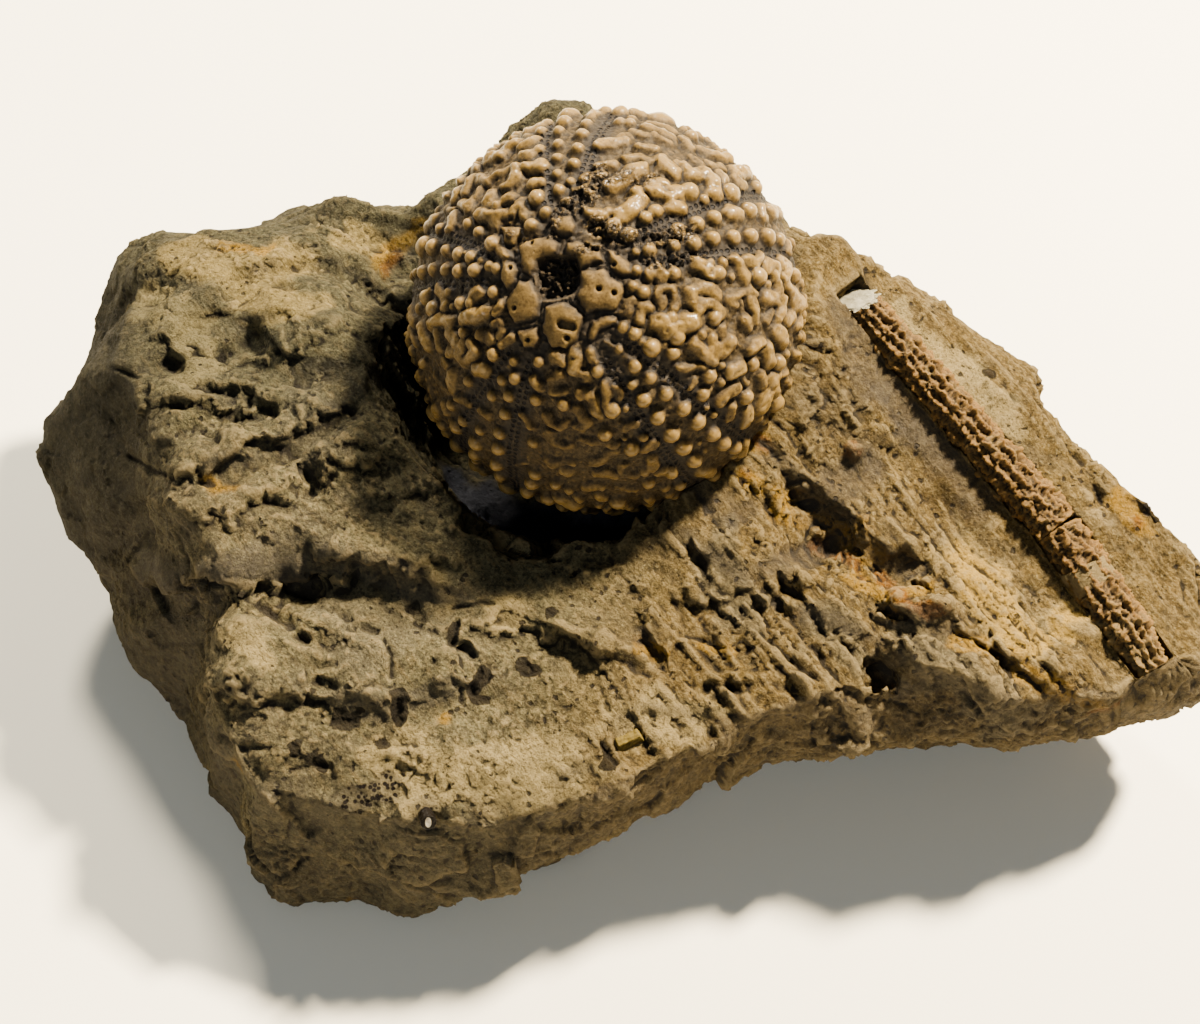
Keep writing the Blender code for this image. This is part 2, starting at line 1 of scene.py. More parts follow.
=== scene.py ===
"""Looks of the fossil sea urchin on its block of limestone.

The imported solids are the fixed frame. Each one is replaced by a finely carved mesh of the same piece: the
block with its ledges, pits and stains, the test with its tubercles and plates, the broken spine, and the
two small grains in the front edge. Lengths are in millimetres until a mesh is finished.
"""

import math

import bmesh
import bpy
import numpy as np
from mathutils import Matrix, Vector, noise
from mathutils.bvhtree import BVHTree


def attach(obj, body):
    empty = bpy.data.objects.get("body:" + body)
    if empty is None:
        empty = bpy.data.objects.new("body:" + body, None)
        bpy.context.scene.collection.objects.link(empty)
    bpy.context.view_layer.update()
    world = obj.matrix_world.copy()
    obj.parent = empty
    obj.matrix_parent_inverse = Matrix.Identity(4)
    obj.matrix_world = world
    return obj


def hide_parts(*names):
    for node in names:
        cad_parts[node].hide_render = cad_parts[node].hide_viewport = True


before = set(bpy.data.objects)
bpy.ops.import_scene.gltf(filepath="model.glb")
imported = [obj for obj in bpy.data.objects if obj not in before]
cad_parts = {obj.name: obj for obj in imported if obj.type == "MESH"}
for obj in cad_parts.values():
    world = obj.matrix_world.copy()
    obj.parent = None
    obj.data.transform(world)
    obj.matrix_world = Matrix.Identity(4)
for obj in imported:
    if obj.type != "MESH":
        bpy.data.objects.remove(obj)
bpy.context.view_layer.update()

MM = 0.001
MOST_TRIANGLES, SPINE_TRIANGLES = 190_000, 90_000

# ---- the camera, whose frame the places of small features are given in ----
FRAME_WIDTH, FRAME_HEIGHT = 1200, 1024
LENS, SENSOR = 70.0, 36.0
VIEW_ELEVATION = math.radians(58.0)
VIEW_DISTANCE = 165.0
VIEW_AIM = Vector((-1.0, -4.5, 18.0))
LOOK = Vector((0, math.cos(VIEW_ELEVATION), -math.sin(VIEW_ELEVATION)))
VIEW_UP = Vector((0, math.sin(VIEW_ELEVATION), math.cos(VIEW_ELEVATION)))
EYE = VIEW_AIM - LOOK * VIEW_DISTANCE
# Keeps the noise vectors, which start from the clock otherwise, the same on each run.
NOISE_SEED = 7

# ---- the test, as the solid has it ----
TEST_CENTRE = Vector((-0.6, 7.0, 26.0))
TEST_AXIS = Vector((-0.235, -0.47, 0.89)).normalized()
TEST_RADIUS, TEST_DOME, TEST_UNDERSIDE = 13.7, 12.2, 7.0
AMBULACRA = (23.0, 93.5, 164.5, 234.5, 307.5)
COLUMN_OFFSET, PORE_OFFSET = 4.3, 10.0
# A knob's height for each millimetre of its radius, and the greatest height.
KNOB_HEIGHT, TALLEST_KNOB = 1.22, 0.86
# How much wider than its crest shows a single knob and a ridge are, and the share of its height a ridge has.
SINGLE_WIDER, RIDGE_WIDER, RIDGE_LOWER = 1.32, 1.26, 0.78
STEEP_WIDER = 0.28
# The rows that follow a rule: first row and step in degrees off the apex, and how many there are.
FIRST_ROW = 30.0
COLUMN_ROWS, COLUMN_STEP, COLUMN_LAG = 15, 5.9, 3.2
BEAD_RADIUS, BESIDE_RADIUS, BESIDE_HEIGHT, BESIDE_OFFSET = 0.40, 0.46, 0.45, 16.5
AREA_ROWS, AREA_STEP, AREA_COLUMNS, AREA_COLUMN_STEP, AREA_RADIUS = 17, 5.0, (-2, -1, 0, 1, 2), 6.9, 0.43
# The rule's knobs stand only where the test turns this far away, and this far from the others.
MOST_FACING, HIDDEN_FACING = 0.62, 0.12
ROOM_SEEN, ROOM_HIDDEN = 1.0, 0.85
PORE_STEP, PORE_SPREAD, PORE_RADIUS = 0.42, 0.22, 0.18

# Knobs of the test, area by area: each radius and the places it runs through, in the camera's frame.
BACK_LEFT_AREA = [
    (7, (503, 150), (516, 143)), (4, (523, 133), (530, 137)), (6, (523, 146), (535, 140)),
    (6, (522, 155), (531, 153)), (7, (525, 166), (541, 165)), (7, (489, 158), (502, 154)),
    (5, (492, 176), (505, 171), (514, 167)), (6, (514, 167), (516, 178), (503, 185)),
    (5.5, (503, 199), (509, 196)), (6, (489, 194), (487, 203), (496, 204)),
    (6, (478, 213), (490, 216), (503, 213)), (6, (490, 214), (494, 222)),
    (5.5, (460, 203), (467, 206), (471, 198)), (6, (455, 197), (458, 190)), (6, (464, 190), (472, 177)),
    (5, (474, 176), (486, 181)), (4.5, (475, 195), (478, 189)), (5, (467, 223)), (5, (477, 231)),
    (4, (444, 208), (452, 209)), (6, (453, 216), (449, 227)), (5, (439, 228)),
    (6, (428, 226), (434, 219)), (5, (519, 200), (521, 212)), (5.5, (512, 210), (520, 203), (524, 215)),
    (6, (530, 224)), (6, (533, 183)), (7, (536, 197)), (6, (528, 131), (540, 126)), (6.5, (491, 243)),
    (5, (497, 247), (503, 256)),
]
BACK_AMBULACRUM = [
    (5, (559, 130)), (5, (558, 143)), (5, (557, 157)), (4.5, (557, 173)), (5.5, (559, 189)),
    (4, (566, 200)), (5.5, (582, 133)), (5.5, (578, 148)), (5.5, (574, 163)), (4.5, (570, 180)),
    (5.5, (545, 212)), (5, (540, 182)), (5, (541, 131)), (5, (547, 123)), (5, (539, 148)),
    (6, (564, 121)), (8, (568, 113)), (5, (586, 122)), (6, (590, 116), (600, 112)), (6, (606, 110)),
]
BACK_RIGHT_AREA = [
    (6.5, (620, 113)), (6, (634, 112)), (5, (642, 115)), (10, (662, 114)), (5.5, (646, 126), (672, 136)),
    (5, (652, 122), (674, 130)), (5, (620, 121)), (5, (630, 122)), (5, (618, 137), (628, 134)),
    (5, (633, 130), (645, 134)), (5, (655, 135), (668, 141)), (7, (601, 143), (613, 142), (624, 140)),
    (5.5, (641, 145), (655, 147)), (5, (626, 158), (640, 155), (651, 160)),
    (7, (661, 158), (668, 166), (676, 172)), (6, (601, 164), (611, 163)),
    (8, (612, 185), (622, 180), (632, 170), (643, 168)), (6, (586, 176), (600, 175)), (6, (637, 191)),
    (9, (655, 188), (662, 186)), (8, (668, 196), (678, 190)), (4.5, (589, 192)),
    (3.5, (573, 187), (588, 184)), (5, (608, 211)), (6, (590, 210), (603, 216)),
    (8, (622, 214), (634, 207), (640, 200)), (6.5, (656, 211)), (7, (614, 225)), (6, (646, 217)),
    (6.5, (629, 234)), (5.5, (692, 135)), (5, (684, 137), (691, 146)), (5, (700, 147), (709, 152)),
    (6, (712, 152), (724, 158)), (6, (727, 158)), (8, (736, 172), (745, 172)), (5.5, (757, 187)),
    (4, (691, 153), (702, 165)), (4.5, (677, 162)), (6.5, (683, 165), (692, 175), (705, 172)),
    (5, (708, 163), (722, 166)), (6, (719, 173), (724, 180)), (5, (735, 176), (744, 184)),
    (8, (690, 191)), (7.5, (713, 180), (715, 192)), (8, (732, 192)), (5, (705, 198)),
    (8, (672, 206), (680, 208)), (5, (680, 197)),
]
RIGHT_AMBULACRUM = [
    (6.5, (679, 230)), (6.5, (698, 223)), (6.5, (715, 217)), (7, (730, 211), (738, 213)), (7, (750, 210)),
    (6, (760, 207), (765, 216)), (6.5, (771, 210), (780, 212)), (4, (636, 251)), (6, (650, 250)),
    (5.5, (675, 245)), (7, (694, 242)), (6.5, (714, 238)), (6.5, (734, 237)), (6.5, (751, 236)),
    (7, (768, 237)), (5.5, (781, 239)), (5, (788, 243), (790, 252)), (5, (637, 270)),
    (6, (650, 273), (658, 268), (665, 275)), (6, (675, 273)), (7, (697, 262), (706, 266), (712, 275)),
    (4, (712, 262)), (5, (724, 262)), (6.5, (719, 273)), (3.5, (733, 277)),
    (6.5, (736, 259), (742, 268), (748, 279)), (6, (747, 259), (756, 265), (761, 257)), (7.5, (759, 276)),
    (7, (767, 266), (776, 267), (775, 274)), (7, (781, 262), (788, 267), (784, 276)), (6.5, (794, 276)),
    (4, (769, 284)), (5.5, (778, 282), (780, 290)), (7, (787, 286), (790, 293)),
]
RIGHT_AREA = [
    (5, (634, 286)), (6, (644, 292)),
    (5, (663, 305), (659, 295), (663, 288), (674, 289), (677, 299), (675, 310)),
    (4.5, (628, 312), (632, 302), (640, 306)), (6, (640, 320), (642, 311), (648, 308)),
    (9, (661, 322), (668, 330), (680, 326), (693, 322)), (7, (678, 338)), (6, (672, 318)),
    (6, (692, 291), (703, 288), (713, 291), (719, 296)), (6.5, (692, 292), (693, 303), (699, 310)),
    (6.5, (702, 303), (712, 303), (722, 313)), (6.5, (716, 318)),
    (5, (733, 297), (742, 292), (752, 290), (756, 293)), (5.5, (731, 299), (735, 305)),
    (6, (752, 299), (756, 312), (757, 319)), (3.5, (742, 302), (744, 312)), (6, (747, 321), (750, 327)),
    (6.5, (767, 298), (776, 297), (783, 300)), (9.5, (794, 298), (800, 305)),
    (6.5, (780, 318), (783, 309)), (6.5, (788, 322), (793, 315)), (3.5, (768, 322), (775, 311)),
    (8, (779, 333), (784, 341)), (7, (697, 345), (703, 352), (712, 360)), (6, (713, 338), (712, 350)),
    (7, (712, 350), (722, 352), (731, 343)), (5, (723, 329), (724, 337)), (4.5, (708, 329), (714, 332)),
    (3, (737, 343)), (5, (703, 335)), (5, (715, 362)), (4, (723, 366)), (6.5, (752, 348), (760, 344)),
    (7, (768, 350), (770, 362)), (6.5, (779, 363)), (7.5, (733, 372), (741, 369)), (6, (754, 365)),
    (4, (779, 373)), (4.5, (682, 369), (700, 368), (712, 373)), (7.5, (652, 348)),
    (4.5, (655, 347), (666, 345)), (6, (674, 354)), (6, (711, 377)), (4.5, (692, 389), (696, 383)),
    (4, (723, 383)), (4, (745, 381), (749, 383)), (6.5, (763, 377), (765, 383)), (5, (778, 376)),
    (6, (704, 395)), (3, (711, 391)), (6, (722, 402), (727, 395), (737, 391)), (6.5, (747, 398)),
    (7, (777, 404)), (8, (773, 380), (775, 392)), (9, (766, 396), (762, 408)),
    (5.5, (734, 410), (732, 419)), (7, (749, 412), (747, 421)),
]
FRONT_RIGHT_AMBULACRUM = [
    (5, (623, 328)), (6, (635, 334)), (4, (642, 342)), (6, (635, 367)), (4, (619, 350)),
    (2.6, (606, 341), (614, 347), (622, 353), (630, 358)), (5.5, (651, 379)), (6, (667, 395)),
    (6.5, (684, 410)), (6.5, (699, 423)), (6.5, (714, 436)), (6.5, (725, 445)), (6, (736, 449)),
    (6, (745, 445), (742, 455)), (6.5, (644, 401)), (6.5, (658, 418)), (7, (672, 435)), (7, (684, 448)),
    (6.5, (695, 461)), (7, (703, 472), (710, 473)), (5, (715, 477)), (2.5, (701, 445)), (3, (706, 453)),
    (4.5, (632, 386)), (2.5, (667, 382), (672, 384)), (3, (708, 409)), (4, (715, 416)), (5.5, (672, 474)),
    (5, (681, 487)),
]
FRONT_AREA = [
    (5.5, (591, 352), (594, 361)), (5.5, (597, 373)), (6, (555, 358), (560, 363)),
    (7, (575, 359), (574, 370)), (5, (574, 370), (585, 377)), (4, (558, 374)),
    (5, (560, 377), (552, 381), (552, 391), (562, 394)), (3, (554, 402), (557, 404)), (5.5, (563, 406)),
    (5, (547, 418), (551, 424), (558, 428), (566, 426)),
    (6, (580, 396), (588, 394), (594, 402), (598, 416)),
    (5, (575, 410), (583, 420), (587, 425), (580, 430)), (5.5, (606, 385), (608, 395), (607, 405)),
    (4, (616, 388), (620, 400)), (7, (612, 411)), (3.5, (626, 410)), (3, (617, 426), (621, 431)),
    (5, (625, 430), (635, 425)), (2.5, (625, 441)), (6, (605, 436)),
    (4, (584, 443), (592, 446), (604, 443), (612, 446), (616, 447)),
    (4.5, (617, 452), (608, 456), (593, 465)), (6.5, (632, 450)), (5, (643, 451), (650, 448), (654, 445)),
    (4.5, (644, 438)), (5.5, (652, 460), (653, 468)), (4.5, (645, 473)),
    (4.5, (547, 435), (550, 443), (560, 447), (572, 447)),
    (4, (546, 462), (550, 467), (560, 465), (572, 465)), (5, (562, 472), (570, 474)), (5, (555, 486)),
    (5, (597, 475), (605, 474), (615, 477)), (4, (624, 466), (622, 474)), (4, (625, 477), (636, 477)),
    (5.5, (649, 484)), (5.5, (660, 473), (670, 472)), (6, (548, 500)), (7, (560, 500), (575, 505)),
    (6.5, (618, 503)), (7, (656, 506)), (5, (668, 503)), (5, (585, 490), (600, 488)),
    (4, (620, 490), (635, 492)),
]
FRONT_LEFT_AMBULACRUM = [
    (4.5, (513, 362)), (5, (538, 363)), (2.5, (508, 367)), (5, (501, 381)), (5.5, (514, 379)),
    (5, (491, 397)), (5.5, (508, 397)), (5.5, (504, 415)), (5, (482, 413), (487, 416)), (5.5, (499, 434)),
    (5, (479, 431)), (6.5, (475, 444)), (6, (498, 449)), (5.5, (474, 455)), (6, (475, 465)),
    (6, (496, 465)), (5, (499, 477)), (5, (481, 474)), (7.5, (507, 487)), (6, (532, 381), (539, 388)),
    (5.5, (535, 401)), (4.5, (522, 416), (530, 428)), (5, (532, 444)), (5.5, (534, 476)), (6, (531, 485)),
    (6, (527, 493)), (3, (517, 468), (522, 466)),
]
LEFT_AMBULACRUM = [
    (4.5, (488, 266)), (5.5, (470, 257)), (6, (457, 254)), (5, (444, 250)), (6.5, (433, 247)),
    (8, (423, 246)), (3.5, (480, 260)), (3, (464, 253)), (6, (474, 270)), (6, (458, 271)),
    (5.5, (444, 269)), (5.5, (432, 269)), (6, (422, 272)), (5, (495, 268)),
]
LEFT_AREA = [
    (6.5, (472, 296), (478, 294)), (5, (469, 303)), (6, (459, 303)), (5.5, (492, 292)),
    (5.5, (494, 311), (499, 303)), (5, (436, 289), (441, 296), (446, 292)), (5.5, (441, 296), (443, 305)),
    (3.5, (428, 291)), (6, (425, 297)), (6.5, (432, 309)), (3, (449, 306)), (7, (463, 318), (483, 313)),
    (4.5, (491, 325), (498, 322), (502, 330), (497, 338)), (5, (479, 334), (487, 337), (491, 343)),
    (5, (462, 333)), (6.5, (431, 324), (441, 319), (448, 322), (449, 334), (454, 341)),
    (6.5, (420, 328), (423, 336), (428, 347)), (5, (436, 334), (438, 348)), (5, (500, 346), (510, 339)),
    (6, (493, 355)), (5.5, (448, 353), (456, 352), (462, 344)), (5, (456, 352), (462, 363)),
    (6, (470, 344), (475, 352), (466, 360)), (7, (476, 371), (485, 370)), (5, (441, 360), (445, 366)),
    (5, (409, 311), (412, 322)), (5, (410, 330), (414, 342)), (4, (449, 374)), (5, (467, 382)),
    (3, (425, 380), (430, 397)), (3.5, (433, 378), (446, 393)), (6, (452, 376), (451, 388)),
    (4.5, (456, 398), (468, 405)), (5, (451, 406)), (6, (435, 408), (437, 415)), (7, (423, 420)),
    (4, (412, 408), (425, 402)), (5, (462, 422)), (6, (455, 428)), (5, (442, 425)), (5, (440, 437)),
    (6.5, (456, 446)),
]
SEEN_KNOBS = (
    BACK_LEFT_AREA + BACK_AMBULACRUM + BACK_RIGHT_AREA + RIGHT_AMBULACRUM + RIGHT_AREA
    + FRONT_RIGHT_AMBULACRUM + FRONT_AREA + FRONT_LEFT_AMBULACRUM + LEFT_AMBULACRUM + LEFT_AREA
)

# The plates round the apex: their outlines in the camera's frame, and the height of their crowns.
APICAL_PLATES = {
    "right_genital": (0.42, [
        (580, 270), (588, 268), (604, 267), (612, 275), (623, 281), (627, 294), (617, 310), (586, 313),
        (579, 304), (574, 295), (580, 287),
    ]),
    "front_genital": (0.42, [
        (544, 305), (563, 302), (577, 307), (584, 317), (579, 342), (566, 350), (552, 348), (542, 333),
        (542, 319),
    ]),
    "left_genital": (0.36, [
        (519, 279), (530, 279), (535, 289), (540, 302), (540, 318), (530, 321), (513, 325), (504, 303),
        (508, 293),
    ]),
    "back_left_genital": (0.36, [
        (518, 245), (524, 238), (540, 236), (556, 237), (561, 243), (558, 253), (545, 257), (537, 262),
        (535, 270), (530, 277), (521, 271),
    ]),
    "back_right_genital": (0.40, [
        (564, 240), (576, 239), (590, 246), (602, 250), (605, 262), (588, 266), (580, 268), (574, 256),
        (564, 252),
    ]),
    "left_ocular": (0.45, [(501, 260), (514, 258), (518, 270), (515, 287), (505, 291), (498, 280)]),
    "front_left_ocular": (0.42, [(516, 331), (536, 327), (541, 338), (536, 350), (522, 350)]),
    "front_right_ocular": (0.38, [
        (590, 319), (606, 315), (618, 316), (619, 325), (602, 330), (596, 342), (587, 340),
    ]),
    "right_ocular": (0.42, [
        (606, 247), (617, 250), (632, 262), (634, 275), (622, 277), (612, 272), (607, 262),
    ]),
    "back_ocular": (0.42, [(547, 216), (572, 214), (578, 226), (574, 236), (558, 236), (550, 229)]),
    "back_left_lump": (0.36, [(500, 226), (520, 224), (524, 234), (514, 246), (503, 243)]),
}
HOLE_OUTLINE = [
    (541, 260), (548, 256), (576, 256), (580, 270), (580, 284), (574, 293), (560, 299), (541, 300),
    (537, 290), (536, 272),
]
HOLE_DEPTH = 1.0
# Pores and pits of the plates: radius and place in the camera's frame.
PLATE_PITS = [
    (2.5, (599, 289)), (2.5, (614, 293)), (4.5, (562, 324), (571, 327)), (2.5, (567, 338)),
    (2.2, (514, 308)), (2.2, (531, 242)), (3.0, (586, 245)), (2.2, (617, 253)), (2.2, (614, 264)),
    (2.0, (510, 268)), (2.0, (528, 340)),
]
# Grains of sediment stuck to the test: radius and the places that each patch runs through.
SEDIMENT_PATCHES = [
    (14, (574, 205), (590, 190), (598, 172)), (12, (606, 180), (626, 176)), (12, (596, 225), (622, 236)),
    (12, (640, 236), (664, 238), (690, 232)), (9, (650, 262), (686, 258)), (8, (640, 183), (655, 176)),
    (8, (560, 205), (552, 232)), (7, (510, 234)), (6, (600, 247), (578, 250)),
    (6, (668, 262), (706, 252)),
]

# ---- the spine, as its solids have it ----
SPINE_TOP = Vector((16.6, 9.7, 25.2))
SPINE_BREAK = Vector((30.9, -5.9, 18.2))
SPINE_FOOT = Vector((37.2, -15.7, 15.4))
SPINE_RADII = (1.3, 1.8, 1.7)
SPINE_ROWS, GRANULE_STEP = 12, 1.05
# How far the upper end's break runs back for each millimetre up, and how much slimmer the foot ends.
SLANT, SPINE_TAPER = 0.8, 0.30
# The spine's relief in millimetres, and how far its ground lies inside the solid.
GRANULE_RELIEF, RIB_RELIEF, ROUGH_RELIEF, RAGGED_RELIEF, SPINE_SINK = 0.19, 0.22, 0.22, 0.27, 0.24

# The block's broken surface: each radius in the camera's frame, depth in millimetres, and the places it
# runs through.
HOLLOWS = [
    (19, 3.4, (478, 518), (540, 542), (600, 528), (648, 512)), (10, 1.4, (655, 505), (684, 492)),
    (13, 0.8, (224, 354), (245, 346), (258, 348)), (10, 0.9, (196, 384), (222, 394), (238, 398)),
    (8, 0.7, (248, 398), (276, 414)), (8, 0.8, (204, 430), (216, 442)), (10, 0.6, (252, 442), (290, 456)),
    (9, 0.7, (304, 472), (314, 478)), (6, 0.5, (178, 528), (184, 532)), (9, 0.6, (268, 500), (286, 506)),
    (7, 0.6, (172, 405), (184, 404)), (6, 0.5, (168, 362), (178, 366)), (9, 0.5, (272, 316), (284, 320)),
    (8, 0.6, (296, 268), (300, 264)), (6, 0.5, (276, 284), (300, 288)),
    (8, 0.8, (268, 602), (285, 620), (306, 640)), (7, 0.6, (318, 682), (334, 688)),
    (8, 0.5, (330, 608), (346, 618)), (7, 0.6, (412, 606), (418, 618)), (7, 0.5, (268, 705), (288, 708)),
    (7, 0.6, (364, 626), (376, 630)), (5, 0.5, (222, 738), (244, 748), (268, 748)),
    (5, 0.45, (334, 721), (354, 722)), (5.5, 0.45, (400, 700), (396, 716)),
    (6, 0.55, (481, 672), (472, 690)), (4, 0.35, (384, 744)), (5, 0.35, (314, 762), (322, 766)),
    (3, 0.3, (294, 748), (293, 756)), (5, 0.8, (458, 622), (450, 640), (462, 642), (472, 656)),
    (4, 0.4, (432, 660)), (11, 0.5, (590, 562), (628, 552)), (4, 0.3, (606, 587)),
    (6, 0.35, (632, 590), (650, 594)), (4, 0.4, (552, 614)), (4, 0.3, (576, 652)),
    (6, 0.35, (524, 666), (536, 670)), (8, 0.5, (634, 666), (648, 672)), (5, 0.9, (604, 744), (617, 762)),
    (5, 0.4, (680, 752), (690, 750)), (5, 0.5, (712, 684), (746, 692)), (5, 0.6, (768, 622), (772, 642)),
    (8, 0.9, (795, 504), (812, 508)), (15, 0.9, (788, 552), (832, 546)),
    (10, 0.7, (906, 556), (926, 572)), (15, 0.7, (836, 478), (880, 462)), (5, 0.6, (896, 456)),
    (5, 0.45, (876, 420), (896, 436)), (7, 0.4, (816, 402), (832, 394)),
    (6, 0.5, (872, 648), (880, 668), (892, 690)), (8, 0.45, (1024, 606), (1046, 632)),
    (11, 0.7, (852, 352), (900, 410), (950, 470), (984, 512)), (8, 0.5, (1062, 612), (1100, 652)),
    (6, 0.4, (736, 645), (748, 650)), (6, 0.5, (702, 560), (704, 584)), (4, 0.35, (1178, 566)),
    (14, 0.5, (120, 306), (132, 290)), (9, 0.5, (1076, 458), (1100, 500)),
    (7, 0.4, (690, 500), (706, 505)),
]
LUMPS = [
    (9, 0.5, (428, 566), (440, 596)), (24, 0.6, (232, 626), (262, 640), (250, 668)),
    (10, 0.6, (300, 650), (330, 660)), (14, 0.3, (170, 350), (210, 360)),
    (12, 0.5, (150, 500), (190, 505)), (10, 0.5, (245, 490), (262, 492)),
    (12, 0.6, (320, 320), (335, 322)), (12, 0.6, (340, 545), (380, 560)),
    (7, 0.8, (850, 446), (856, 452)), (10, 0.7, (900, 596), (925, 588)), (6, 0.6, (948, 604)),
    (20, 0.45, (930, 652), (985, 680), (1008, 716)), (10, 0.6, (1062, 622), (1096, 642), (1130, 654)),
    (7, 0.35, (1130, 522), (1138, 522)), (3.5, 0.5, (991, 373)),
    (8, 0.5, (604, 642), (640, 655), (668, 684)),
    (7, 0.5, (700, 678), (760, 676), (800, 680), (840, 694)), (8, 0.5, (790, 640), (800, 660)),
    (9, 0.5, (780, 470), (818, 478)), (10, 0.6, (745, 476), (756, 482)), (8, 0.6, (560, 628), (600, 640)),
    (8, 0.5, (905, 545), (925, 540)), (5, 0.4, (806, 488), (818, 484)),
    (14, 0.45, (404, 808), (430, 806), (452, 812)), (14, 0.7, (255, 850), (290, 880)),
    (9, 0.5, (392, 886), (408, 900)),
]
CRACKS = [
    (3, 0.55, (126, 456), (150, 470), (190, 482), (212, 482)),
    (2.6, 0.5, (384, 640), (392, 656), (392, 676)), (2.6, 0.5, (462, 650), (461, 700)),
    (2.4, 0.3, (598, 682), (608, 710)), (2.8, 0.5, (772, 640), (786, 656), (800, 668)),
    (2.4, 0.35, (706, 562), (703, 584), (720, 595), (756, 588)), (2.6, 0.3, (500, 622), (534, 632)),
    (2.8, 0.45, (880, 612), (902, 620), (956, 634), (1000, 656), (1042, 688)),
    (2.2, 0.3, (740, 596), (742, 614)), (3, 0.45, (842, 645), (862, 656), (868, 672)),
    (2.6, 0.4, (680, 634), (700, 636), (724, 648)), (2.2, 0.3, (1183, 582), (1186, 604)),
    (2.6, 0.4, (110, 366), (124, 372), (138, 378)), (2.4, 0.3, (290, 796), (288, 838)),
    (2.6, 0.35, (454, 608), (470, 606), (492, 602)), (2.4, 0.35, (800, 672), (836, 690), (858, 690)),
    (2.4, 0.3, (330, 770), (332, 778)), (2.6, 0.35, (240, 776), (290, 770), (330, 765)),
    (2.6, 0.4, (640, 642), (664, 650)), (2.6, 0.3, (820, 655), (838, 676)),
    (3, 0.5, (836, 690), (860, 700), (905, 706)),
]
# Steps in the block: how much lower the front of each line lies, and the places that it runs through.
LEDGES = [
    (1.2, (142, 578), (190, 596), (240, 588), (290, 576), (330, 580)),
    (0.5, (196, 708), (240, 700), (300, 700)), (0.45, (330, 548), (380, 566), (430, 566)),
    (0.5, (500, 628), (560, 632), (620, 664)), (0.5, (700, 600), (740, 600), (790, 590)),
    (0.5, (150, 400), (190, 402), (240, 408), (280, 414)), (0.6, (196, 470), (262, 444), (332, 410)),
    (0.5, (230, 520), (300, 486), (350, 458)), (0.5, (176, 345), (236, 362), (300, 350), (352, 330)),
]
# Soft regions of colour: radius and the places that each runs through.
# The hollow in front of the test, painted blue-black as the shade that fills it.
MOAT_AREAS = [
    (34, (478, 506), (510, 524), (560, 536), (600, 528), (640, 514)), (14, (450, 478), (464, 500)),
    (8, (656, 506), (690, 490)),
]
# Places painted darker as shade: under the test, beside the spine, under steps and in recesses.
DARK_AREAS = [
    (38, (470, 500), (520, 528), (580, 532), (630, 522)), (10, (430, 450), (455, 480)),
    (14, (690, 505), (706, 500)), (12, (742, 512), (752, 510)), (20, (836, 480), (872, 465)),
    (16, (790, 552), (830, 548)), (18, (150, 574), (230, 572), (300, 566)), (10, (890, 684), (902, 692)),
    (16, (868, 372), (930, 452), (980, 512)), (24, (842, 318), (868, 352), (886, 386)),
]
TAN_AREAS = [
    (34, (180, 256), (240, 272), (290, 266)), (26, (250, 296), (300, 306)), (20, (340, 240), (372, 246)),
]
OCHRE_AREAS = [
    (9, (224, 246), (262, 252)), (14, (378, 262), (396, 250), (412, 236)),
    (16, (780, 512), (830, 528), (880, 556)), (14, (860, 580), (900, 596), (930, 590)),
    (12, (744, 478), (756, 484)), (12, (764, 430), (760, 446)), (13, (640, 648), (660, 652)),
    (12, (705, 646), (725, 648)), (13, (960, 636), (1010, 662), (1060, 690), (1100, 704)),
    (9, (446, 720)), (8, (205, 482), (245, 490)), (7, (250, 902), (300, 908), (350, 902)),
    (7, (238, 760)), (16, (1120, 500), (1140, 520)),
]
RUST_AREAS = [
    (9, (735, 470), (746, 474)), (10, (818, 546), (850, 560)), (11, (880, 574), (910, 604), (930, 610)),
    (10, (385, 266), (398, 256)), (8, (762, 436), (764, 446)), (9, (1096, 712), (1130, 700)),
    (9, (851, 449)), (7, (944, 610)), (9, (1140, 520)), (4, (991, 373)), (4, (1178, 566)),
]
PALE_AREAS = [
    (18, (240, 636), (262, 660)), (40, (400, 770), (480, 780), (560, 760)), (30, (640, 720), (690, 720)),
    (34, (965, 560), (1000, 610), (1030, 640)), (26, (1060, 622), (1110, 650)),
    (26, (150, 300), (190, 330), (200, 370)), (18, (432, 570), (446, 600)), (18, (505, 612), (512, 618)),
    (24, (900, 330), (960, 370), (1010, 430)),
]
GOLDEN_AREAS = [(30, (965, 560), (1000, 610), (1030, 640)), (24, (1062, 622), (1110, 650))]
GREY_AREAS = [
    (34, (915, 650), (980, 690), (1010, 720)), (40, (420, 610), (360, 650), (340, 600)),
    (30, (720, 560), (740, 610)), (30, (830, 620), (850, 650)), (30, (330, 440), (300, 400)),
]
# Dark bits of shell and bone in the rock, and a patch riddled with tiny holes.
BIT_AREAS = [
    (8, (336, 720), (352, 722)), (8, (401, 700), (398, 714)), (9, (483, 673), (475, 688)),
    (6, (384, 745)), (7, (314, 762), (321, 766)), (6, (451, 638), (458, 624)),
    (5, (294, 748), (293, 755)), (6, (576, 652)), (6, (552, 614)), (6, (524, 667), (536, 671)),
    (5, (812, 505)), (5, (991, 373)), (6, (606, 752), (610, 764)),
]
PERFORATED_AREAS = [(14, (352, 801), (364, 795), (388, 789))]
STAINS = {
    "tan": TAN_AREAS, "ochre": OCHRE_AREAS, "rust": RUST_AREAS, "pale": PALE_AREAS, "golden": GOLDEN_AREAS,
    "grey": GREY_AREAS, "bit": BIT_AREAS, "perforated": PERFORATED_AREAS,
}
# How much of their depth the placed hollows, lumps and cracks get.
HOLLOW_SHARE = 0.66
